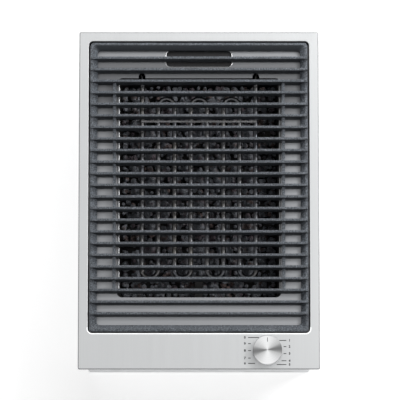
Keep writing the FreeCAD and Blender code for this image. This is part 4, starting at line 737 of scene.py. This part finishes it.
@dataclass
class LavaBed:
    """The bed of broken lava: small sharp lumps over the larger packed stones."""

    pitch: float = 8.9 * MM
    smallest: float = 3.2 * MM
    largest: float = 6.8 * MM
    flattest: float = 0.7  # of the size, along one axis
    stray: float = 0.3  # of the pitch
    wall_gap: float = 0.6 * MM
    tray_wall: float = 5.0 * MM
    top_band: float = 11.0 * MM
    packed_share: float = 0.46  # of a packed stone's box
    tilt: float = 0.6
    rough: float = 0.46
    ripples: float = 1.9
    ripple_middle: float = 0.12  # the noise that leaves the surface where it is
    noise_reach: float = 50.0
    sharp: float = math.radians(24)
    seed: int = 11

    def lump(self, bed: Mesh, middle: Vector, half: Vector, source: random.Random) -> None:
        """Adds one broken lump.

        Args:
            bed: The mesh to add to.
            middle: The lump's middle.
            half: Its half sizes before it is turned.
            source: The seeded source of chance.
        """
        spot = Vector([source.uniform(-self.noise_reach, self.noise_reach) for _ in range(3)])
        about_z = Matrix.Rotation(source.uniform(0, math.tau), 3, "Z")
        turn = about_z @ Matrix.Rotation(source.uniform(-self.tilt, self.tilt), 3, "X")
        made = bmesh.ops.create_icosphere(bed, subdivisions=2, radius=1.0)["verts"]
        for vert in made:
            direction = vert.co.normalized()
            ripple = noise.noise(direction * self.ripples + spot) - self.ripple_middle
            reach = min(1.0 + self.rough * ripple, 1.0)
            vert.co = middle + turn @ Vector([direction[k] * half[k] * reach for k in range(3)])

    def packed_boxes(self) -> list[tuple[Vector, Vector]]:
        """The box of each packed stone.

        Returns:
            The lowest and the highest corner of each.
        """
        packed = copy_of("lava_stones")
        seen: set[Vert] = set()
        boxes = []
        for start in packed.verts:
            if start in seen:
                continue
            group, waiting = {start}, [start]
            while waiting:
                vert = waiting.pop()
                more = {edge.other_vert(vert) for edge in vert.link_edges} - group
                group |= more
                waiting.extend(more)
            seen |= group
            boxes.append(tuple(Vector([pick(vert.co[k] for vert in group) for k in range(3)])
                               for pick in (min, max)))
        packed.free()
        return boxes

    def build(self) -> None:
        """Makes the whole bed as one piece."""
        source = random.Random(self.seed)
        bed = bmesh.new()
        for low, high in self.packed_boxes():
            self.lump(bed, (low + high) / 2, (high - low) * self.packed_share, source)
        tray_low, tray_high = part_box("lava_tray")
        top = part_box("lava_stones")[1].z
        centre = (tray_low + tray_high) / 2
        reach = (tray_high - tray_low) / 2 - Vector((1, 1, 0)) * (self.tray_wall + self.wall_gap)
        columns, rows = (int(2 * size / self.pitch) + 1 for size in reach.xy)
        for row in range(rows):
            for column in range(columns):
                size = source.uniform(self.smallest, self.largest)
                half = Vector([size * source.uniform(self.flattest, 1.0) for _ in range(3)])
                offsets = []
                for place, count, room in ((column, columns, reach.x), (row, rows, reach.y)):
                    stray = source.uniform(-self.stray, self.stray) * self.pitch
                    offset = (2 * place / (count - 1) - 1) * room + stray
                    offsets.append(max(size - room, min(room - size, offset)))
                middle = Vector((centre.x + offsets[0], centre.y + offsets[1],
                                 top - size - source.uniform(0.0, self.top_band)))
                self.lump(bed, middle, half, source)
        stones = make_piece("broken_lava", bed, LAVA, "base", self.sharp)
        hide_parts("lava_stones")


def extruded(mesh: Mesh, edges: list[Edge], step: Vector) -> list[Edge]:
    """Draws a section out along a straight step.

    Args:
        mesh: The mesh to add to.
        edges: The section's edges.
        step: How far and where to.

    Returns:
        The edges at the far end.
    """
    made = bmesh.ops.extrude_edge_only(mesh, edges=edges)["geom"]
    bmesh.ops.translate(mesh, verts=sort_of(made, Vert), vec=step)
    near = {vert for edge in edges for vert in edge.verts}
    return [edge for edge in sort_of(made, Edge) if not near & set(edge.verts)]


@dataclass(frozen=True)
class EdgeTrim:
    """A thin rolled or bent edge that follows a rounded rectangle.

    Attributes:
        middle: The rectangle's middle at the level of the sheet.
        width: Its size along X.
        length: Its size along Y.
        corner: Its corner radius.
        section: Places outwards from the rectangle and up from the sheet, as a closed ring.
    """

    middle: Vector
    width: float
    length: float
    corner: float
    section: Section
    corner_steps: int = 8
    weld_reach: float = 0.01 * MM

    def mesh(self) -> Mesh:
        """Draws the section once round the rectangle.

        Returns:
            The closed trim.
        """
        mesh = bmesh.new()
        half_x, half_y = self.width / 2, self.length / 2
        verts = [mesh.verts.new((half_x + out, 0.0, up)) for out, up in self.section]
        edges = [mesh.edges.new(pair) for pair in zip(verts, verts[1:] + verts[:1])]
        run_x, run_y = half_x - self.corner, half_y - self.corner
        turns = (((0, run_y, 0), (run_x, run_y, 0)), ((-2 * run_x, 0, 0), (-run_x, run_y, 0)),
                 ((0, -2 * run_y, 0), (-run_x, -run_y, 0)), ((2 * run_x, 0, 0), (run_x, -run_y, 0)))
        for step, centre in turns:
            edges = extruded(mesh, edges, Vector(step))
            made = bmesh.ops.spin(mesh, geom=edges, cent=centre, axis=(0, 0, 1),
                                  angle=math.pi / 2, steps=self.corner_steps)
            edges = sort_of(made["geom_last"], Edge)
        extruded(mesh, edges, Vector((0, run_y, 0)))
        bmesh.ops.remove_doubles(mesh, verts=mesh.verts, dist=self.weld_reach)
        bmesh.ops.recalc_face_normals(mesh, faces=mesh.faces)
        bmesh.ops.translate(mesh, verts=mesh.verts, vec=self.middle)
        return mesh


@dataclass(frozen=True)
class Crown:
    """A shallow arched section.

    Attributes:
        start: Where it begins, outwards from the edge that it follows.
        end: Where it ends.
        rise: The height of its middle.
        foot: How deep its flat underside lies.
        steps: Steps along the arch.
    """

    start: float
    end: float
    rise: float
    foot: float
    steps: int = 6

    def section(self) -> Section:
        """Lays the places along the arch and those of the underside.

        Returns:
            The closed section.
        """
        arch = [(self.start + (self.end - self.start) * k / self.steps,
                 self.rise * (1 - (2 * k / self.steps - 1) ** 2)) for k in range(self.steps + 1)]
        return (*arch, (self.end, -self.foot), (self.start, -self.foot))


@dataclass
class SheetEdges:
    """The finished edges of the sheet pieces: round the opening, the finger slot and the window."""

    plate_corner: float = 2.5 * MM
    hem: Section = ((-1.4 * MM, 0.03 * MM), (-0.45 * MM, -0.05 * MM), (-0.02 * MM, -0.35 * MM),
                    (-0.02 * MM, -0.8 * MM), (-1.4 * MM, -0.8 * MM))
    opening_corner: float = 6.5 * MM
    grate_gap: float = 2.5 * MM
    # The shape of the front edge, whose brighter steel is a painted highlight.
    highlight_crown: Crown = Crown(0.10 * MM, 1.7 * MM, 0.08 * MM, 0.3 * MM)
    front_side: float = 9.0 * MM
    slot_size: tuple[float, float] = (99.0 * MM, 24.5 * MM)
    slot_corner: float = 6.0 * MM
    slot_middle_y: float = 217.0 * MM
    slot_lip: Crown = Crown(-0.5 * MM, 1.1 * MM, 0.45 * MM, 0.4 * MM)
    window_width: float = 246.0 * MM
    window_middle_y: float = 21.0 * MM
    window_side: float = 318.0 * MM
    bend_start: float = 1.9 * MM
    bend_reaches: tuple[float, float] = (3.6 * MM, 2.4 * MM)  # left and right
    ridge_drop: float = 0.35 * MM
    groove_drop: float = 0.9 * MM
    bend_slope: float = math.tan(math.radians(17.5))
    bend_sheet: float = 0.5 * MM
    crease: float = math.radians(30)
    roll: float = math.radians(60)

    def plate_hem(self) -> None:
        """The hemmed outer edge of the plate, in darker steel: a painted shade line round the
        plate.
        """
        low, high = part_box("top_plate")
        trim = EdgeTrim(middle_of((low, high), high.z), high.x - low.x, high.y - low.y,
                        self.plate_corner, self.hem)
        make_piece("plate_hem", trim.mesh(), HEM_PAINTED_SHADE, "base", self.crease)

    def opening_front(self) -> None:
        """A raised edge along the front of the opening and round its two front corners, in brighter
        steel than the plate: a painted highlight.
        """
        low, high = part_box("grate")
        trim = EdgeTrim(middle_of((low, high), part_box("top_plate")[1].z),
                        high.x - low.x + 2 * self.grate_gap, high.y - low.y + 2 * self.grate_gap,
                        self.opening_corner, self.highlight_crown.section())
        mesh = trim.mesh()
        cut = Vector((0, low.y - self.grate_gap + self.front_side, 0))
        whole = [*mesh.verts, *mesh.edges, *mesh.faces]
        made = bmesh.ops.bisect_plane(mesh, geom=whole, plane_co=cut, plane_no=(0, 1, 0),
                                      clear_outer=True)
        bmesh.ops.holes_fill(mesh, edges=sort_of(made["geom_cut"], Edge))
        bmesh.ops.recalc_face_normals(mesh, faces=mesh.faces)
        make_piece("opening_front_edge", mesh, PAINTED_HIGHLIGHT_EDGE, "base", self.roll)

    def frame_top(self) -> float:
        """The level of the frame's flat top."""
        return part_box("liner_frame")[1].z

    def slot(self) -> None:
        """The rolled lip of the finger slot."""
        trim = EdgeTrim(Vector((0, self.slot_middle_y, self.frame_top())), *self.slot_size,
                        self.slot_corner, self.slot_lip.section())
        make_piece("finger_slot_lip", trim.mesh(), POLISHED_ROLL, "frame",
                   self.roll)

    def window_sides(self) -> None:
        """The bent edges along both sides of the window, sloping into it, as one piece."""
        mesh = bmesh.new()
        groove = self.frame_top() - self.groove_drop
        ridge = self.frame_top() - self.ridge_drop
        front = self.window_middle_y - self.window_side / 2
        for side, reach in zip((-1, 1), self.bend_reaches):
            foot = ridge - self.bend_slope * (reach - self.bend_start)
            ring = ((0.0, groove), (self.bend_start, ridge), (reach, foot),
                    (reach, foot - self.bend_sheet), (0.0, groove - self.bend_sheet))
            face = mesh.faces.new([mesh.verts.new((side * (self.window_width / 2 - inwards), front,
                                                   level)) for inwards, level in ring])
            made = bmesh.ops.extrude_face_region(mesh, geom=[face])["geom"]
            bmesh.ops.translate(mesh, verts=sort_of(made, Vert),
                                vec=(0, self.window_side, 0))
        bmesh.ops.recalc_face_normals(mesh, faces=mesh.faces)
        make_piece("window_bent_edges", mesh, BENT_EDGE, "frame")

    def build(self) -> None:
        """Makes the edges."""
        for make in (self.plate_hem, self.opening_front, self.slot, self.window_sides):
            make()


@dataclass
class ControlKnob:
    """The turned metal cap: spun face, small chamfer, drafted side and a filled pointer groove."""

    chamfer: float = 0.7 * MM
    draft: float = 0.5 * MM
    face_dish: float = 0.15 * MM
    face_ring: tuple[float, float] = (1.5 * MM, 0.05 * MM)  # its width and height
    axis_hole: float = 0.02 * MM  # closed by the weld
    weld_reach: float = 0.03 * MM
    foot: Section = ((0.3 * MM, 1.6 * MM), (0.8 * MM, 0.8 * MM), (0.8 * MM, 0.0))
    wall: float = 1.2 * MM
    wall_draft: float = 0.4 * MM
    face_sheet: float = 2.5 * MM
    facets: int = 96
    crease: float = math.radians(25)
    pointer_from: float = 12.0 * MM
    pointer_to: float = 18.2 * MM
    pointer_width: float = 0.8 * MM
    pointer_round: float = 0.45
    pointer_height: float = 0.2 * MM
    pointer_sunk: float = 0.13 * MM
    low: Vector = field(default_factory=lambda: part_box("knob_cap")[0])
    high: Vector = field(default_factory=lambda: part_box("knob_cap")[1])

    @property
    def middle(self) -> Vector:
        """The foot of the knob's axis."""
        return middle_of((self.low, self.high), self.low.z)

    def cap(self) -> None:
        """Spins the cap from its section."""
        radius = (self.high.x - self.low.x) / 2
        height = self.high.z - self.low.z
        shoulder = radius - self.draft - self.chamfer
        inner = radius - self.wall - self.foot[-1][0]
        underside = height - self.face_sheet
        section = [(self.axis_hole, height - self.face_dish),
                   (shoulder - self.face_ring[0], height - self.face_ring[1]), (shoulder, height),
                   (radius - self.draft, height - self.chamfer),
                   *((radius - inwards, up) for inwards, up in self.foot), (inner, 0.0),
                   (inner - self.wall_draft, underside), (self.axis_hole, underside)]
        mesh = bmesh.new()
        verts = [mesh.verts.new((x, 0.0, z)) for x, z in section]
        edges = [mesh.edges.new(pair) for pair in zip(verts, verts[1:])]
        bmesh.ops.spin(mesh, geom=verts + edges, cent=(0, 0, 0), axis=(0, 0, 1), angle=math.tau,
                       steps=self.facets, use_merge=True)
        bmesh.ops.remove_doubles(mesh, verts=mesh.verts, dist=self.weld_reach)
        bmesh.ops.recalc_face_normals(mesh, faces=mesh.faces)
        bmesh.ops.translate(mesh, verts=mesh.verts, vec=self.middle)
        # The cap's finish paints a sheen of light and dark wedges onto the spun face.
        finish = SpunMetal("knob_metal", (0.72, 0.725, 0.73), 0.30, 1.0, middle=tuple(self.middle))
        cap = make_piece("spun_knob_cap", mesh, finish, "knob", self.crease)
        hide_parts("knob_cap")

    def pointer(self) -> None:
        """Lays the pointer line into the face."""
        mesh = bmesh.new()
        bmesh.ops.create_cube(mesh, size=1.0)
        length = self.pointer_to - self.pointer_from
        bmesh.ops.scale(mesh, verts=mesh.verts, vec=(self.pointer_width, length,
                                                     self.pointer_height))
        ends = [edge for edge in mesh.edges
                if abs(edge.verts[0].co.z - edge.verts[1].co.z) > self.pointer_height / 2]
        bmesh.ops.bevel(mesh, geom=ends, offset=self.pointer_width * self.pointer_round,
                        affect="EDGES", segments=4, profile=0.5, material=-1)
        place = self.middle + Vector((0, (self.pointer_from + self.pointer_to) / 2,
                                      self.high.z - self.low.z - self.pointer_sunk))
        bmesh.ops.translate(mesh, verts=mesh.verts, vec=place)
        make_piece("knob_pointer_line", mesh, PRINT_INK, "knob")

    def build(self) -> None:
        """Makes the cap and its pointer line."""
        self.cap()
        self.pointer()


class Side(Enum):
    """On which side of the knob a mark of the scale stands."""

    LEFT = -1
    RIGHT = 1


@dataclass(frozen=True)
class ScaleMark:
    """One line of the printed scale with its number.

    Attributes:
        number: What is printed beside the line.
        side: The side of the knob.
        height: Y of the line from the middle of the knob, in metres.
        inner: X of the line's inner end from the middle of the knob, in metres.
    """

    number: str
    side: Side
    height: float
    inner: float


@dataclass
class PrintedScale:
    """The printed numbers 0 to 9 and their lines, laid on the plate beside the knob."""

    line_end: float = 28.4 * MM
    digit_middle: float = 33.2 * MM
    line_width: float = 1.1 * MM
    digit_size: float = 4.7 * MM
    digit_weight: float = 0.05
    digit_steps: int = 4
    ink: float = 0.03 * MM
    weld_reach: float = 0.001 * MM
    marks: tuple[ScaleMark, ...] = (
        ScaleMark("0", Side.LEFT, 20.2 * MM, 12.0 * MM),
        ScaleMark("9", Side.LEFT, 11.0 * MM, 24.3 * MM),
        ScaleMark("8", Side.LEFT, 0.6 * MM, 24.0 * MM),
        ScaleMark("7", Side.LEFT, -10.5 * MM, 24.6 * MM),
        ScaleMark("6", Side.LEFT, -18.4 * MM, 18.3 * MM),
        ScaleMark("1", Side.RIGHT, 15.8 * MM, 18.1 * MM),
        ScaleMark("2", Side.RIGHT, 6.6 * MM, 24.3 * MM),
        ScaleMark("3", Side.RIGHT, -3.8 * MM, 24.3 * MM),
        ScaleMark("4", Side.RIGHT, -14.5 * MM, 21.2 * MM),
        ScaleMark("5", Side.RIGHT, -20.2 * MM, 14.2 * MM),
    )

    @property
    def middle(self) -> Vector:
        """The foot of the knob's axis on the plate."""
        return middle_of(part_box("knob_cap"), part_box("top_plate")[1].z)

    def line(self, mesh: Mesh, mark: ScaleMark) -> None:
        """Adds one line.

        Args:
            mesh: The mesh to add to.
            mark: The mark that the line belongs to.
        """
        made = bmesh.ops.create_cube(mesh, size=1.0)["verts"]
        length = self.line_end - mark.inner
        bmesh.ops.scale(mesh, verts=made, vec=(length, self.line_width, self.ink))
        place = Vector((mark.side.value * (mark.inner + self.line_end) / 2, mark.height,
                        self.ink / 2))
        bmesh.ops.translate(mesh, verts=made, vec=self.middle + place)

    def digit(self, mesh: Mesh, mark: ScaleMark) -> None:
        """Adds one number.

        Args:
            mesh: The mesh to add to.
            mark: The mark that the number belongs to.
        """
        text = bpy.data.curves.new("number", "FONT")
        text.body = mark.number
        text.size = self.digit_size
        text.align_x = text.align_y = "CENTER"
        text.extrude = self.ink / 2
        text.offset = self.digit_size * self.digit_weight
        text.resolution_u = self.digit_steps
        holder = placed("number", text)
        depsgraph = bpy.context.evaluated_depsgraph_get()
        shape = bpy.data.meshes.new_from_object(holder.evaluated_get(depsgraph))
        before = len(mesh.verts)
        mesh.from_mesh(shape)
        mesh.verts.ensure_lookup_table()
        place = Vector((mark.side.value * self.digit_middle, mark.height, self.ink / 2))
        bmesh.ops.translate(mesh, verts=mesh.verts[before:], vec=self.middle + place)
        bpy.data.objects.remove(holder)
        bpy.data.curves.remove(text)
        bpy.data.meshes.remove(shape)

    def build(self) -> None:
        """Makes the lines and the numbers."""
        lines, digits = bmesh.new(), bmesh.new()
        for mark in self.marks:
            self.line(lines, mark)
            self.digit(digits, mark)
        bmesh.ops.remove_doubles(digits, verts=digits.verts, dist=self.weld_reach)
        make_piece("scale_lines", lines, PRINT_INK, "base")
        make_piece("scale_numbers", digits, PRINT_INK, "base")


@dataclass(frozen=True)
class PhotoCamera:
    """The camera of the photograph: high in front of the cooktop, looking almost straight down."""

    distance: float = 5.0
    elevation: float = math.radians(81.5)
    frame_width: float = 598.2 * MM
    rise: float = 0.05
    sensor: float = 36.0
    middle_x: float = 1.6 * MM
    middle_y: float = -0.8 * MM
    sight: float = 20.0

    def place(self) -> None:
        """Adds the camera."""
        data = bpy.data.cameras.new("camera")
        data.sensor_width = self.sensor
        data.lens = self.sensor * self.distance / self.frame_width
        data.shift_y = self.rise
        data.clip_end = self.sight
        camera = placed("camera", data)
        plate_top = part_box("top_plate")[1].z
        camera.location = (self.middle_x,
                           self.middle_y - self.distance * math.cos(self.elevation),
                           plate_top + self.distance * math.sin(self.elevation))
        steeper = math.atan(self.rise * self.frame_width / self.distance)
        camera.rotation_euler = (math.pi / 2 - self.elevation - steeper, 0, 0)
        bpy.context.scene.camera = camera


@dataclass(frozen=True)
class SoftLamp:
    """A square studio lamp that faces the cooktop.

    Attributes:
        name: The lamp's name.
        direction: From the cooktop towards the lamp.
        distance: How far away it stands, in metres.
        size: The side of its face, in metres.
        power: Its power in watts.
    """

    name: str
    direction: Colour
    distance: float
    size: float
    power: float

    def hang(self, target: Vector) -> None:
        """Adds the lamp.

        Args:
            target: The point that it faces.
        """
        data = bpy.data.lights.new(self.name, "AREA")
        data.size = self.size
        data.energy = self.power
        lamp = placed(self.name, data)
        away = Vector(self.direction).normalized()
        lamp.location = target + away * self.distance
        lamp.rotation_euler = away.to_track_quat("Z", "Y").to_euler()


@dataclass
class Studio:
    """The plain white surroundings, the pale floor and the lamps."""

    world_light: float = 0.09
    floor_colour: Colour = grey(0.80)
    floor_glow: float = 0.72
    floor_size: float = 12.0
    lamps: tuple[SoftLamp, ...] = (
        SoftLamp("key_lamp", (0.62, 0.22, 0.88), 2.2, 0.6, 17.0),
        SoftLamp("rear_lamp", (0.12, 0.86, 0.74), 2.4, 1.3, 28.0),
        SoftLamp("front_fill", (-0.35, -1.0, 0.20), 2.6, 1.2, 2.0),
    )

    def emptied(self, owner: bpy.types.World | bpy.types.Material) -> NodeSheet:
        """Clears the node tree of a world or a material.

        Args:
            owner: The world or the material.

        Returns:
            Its empty tree.
        """
        owner.use_nodes = True
        owner.node_tree.nodes.clear()
        return NodeSheet(owner.node_tree)

    def seen_directly(self, sheet: NodeSheet) -> Socket:
        """Whether a ray comes from the camera, a mirror or a glass.

        Args:
            sheet: The node tree to add to.

        Returns:
            1 for such a ray and 0 for the rest.
        """
        rays = sheet.add("LightPath").outputs
        mirrored = sheet.calc(rays["Is Camera Ray"], "MAXIMUM", rays["Is Glossy Ray"])
        return sheet.calc(mirrored, "MAXIMUM", rays["Is Transmission Ray"])

    def world(self) -> None:
        """Sets the surroundings: white to look at, and a soft grey as a light."""
        world = bpy.data.worlds.new("studio")
        bpy.context.scene.world = world
        sheet = self.emptied(world)
        soft = sheet.add("Background", {"Color": WHITE, "Strength": self.world_light})
        white = sheet.add("Background", {"Color": WHITE})
        both = sheet.add("MixShader", {"Fac": self.seen_directly(sheet), 1: soft.outputs[0],
                                       2: white.outputs[0]})
        sheet.add("OutputWorld", {"Surface": both.outputs[0]})

    def floor(self) -> None:
        """Lays the pale floor, which glows white to look at and keeps the shadow."""
        mesh = bmesh.new()
        bmesh.ops.create_grid(mesh, x_segments=1, y_segments=1, size=self.floor_size / 2)
        data = bpy.data.meshes.new("studio_floor")
        mesh.to_mesh(data)
        mesh.free()
        floor = placed("studio_floor", data)
        material = bpy.data.materials.new("studio_floor")
        sheet = self.emptied(material)
        strength = sheet.calc(self.seen_directly(sheet), "MULTIPLY", self.floor_glow)
        matt = sheet.add("BsdfDiffuse", {"Color": self.floor_colour})
        glow = sheet.add("Emission", {"Strength": strength})
        both = sheet.add("AddShader", {0: matt.outputs[0], 1: glow.outputs[0]})
        sheet.add("OutputMaterial", {"Surface": both.outputs[0]})
        data.materials.append(material)

    def build(self) -> None:
        """Sets the surroundings, the floor and the lamps."""
        self.world()
        self.floor()
        target = Vector((0, 0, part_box("top_plate")[1].z))
        for lamp in self.lamps:
            lamp.hang(target)
        bpy.context.scene.view_settings.view_transform = "Standard"


def main() -> None:
    """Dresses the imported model, adds the fine pieces and sets up the studio."""
    logging.basicConfig(level=logging.INFO, format="%(message)s")
    PhotoCamera().place()
    Studio().build()
    dress_nodes()
    for part in (Grate(), LavaBed(), SheetEdges(), ControlKnob(), PrintedScale()):
        part.build()


if __name__ == "__main__":
    main()
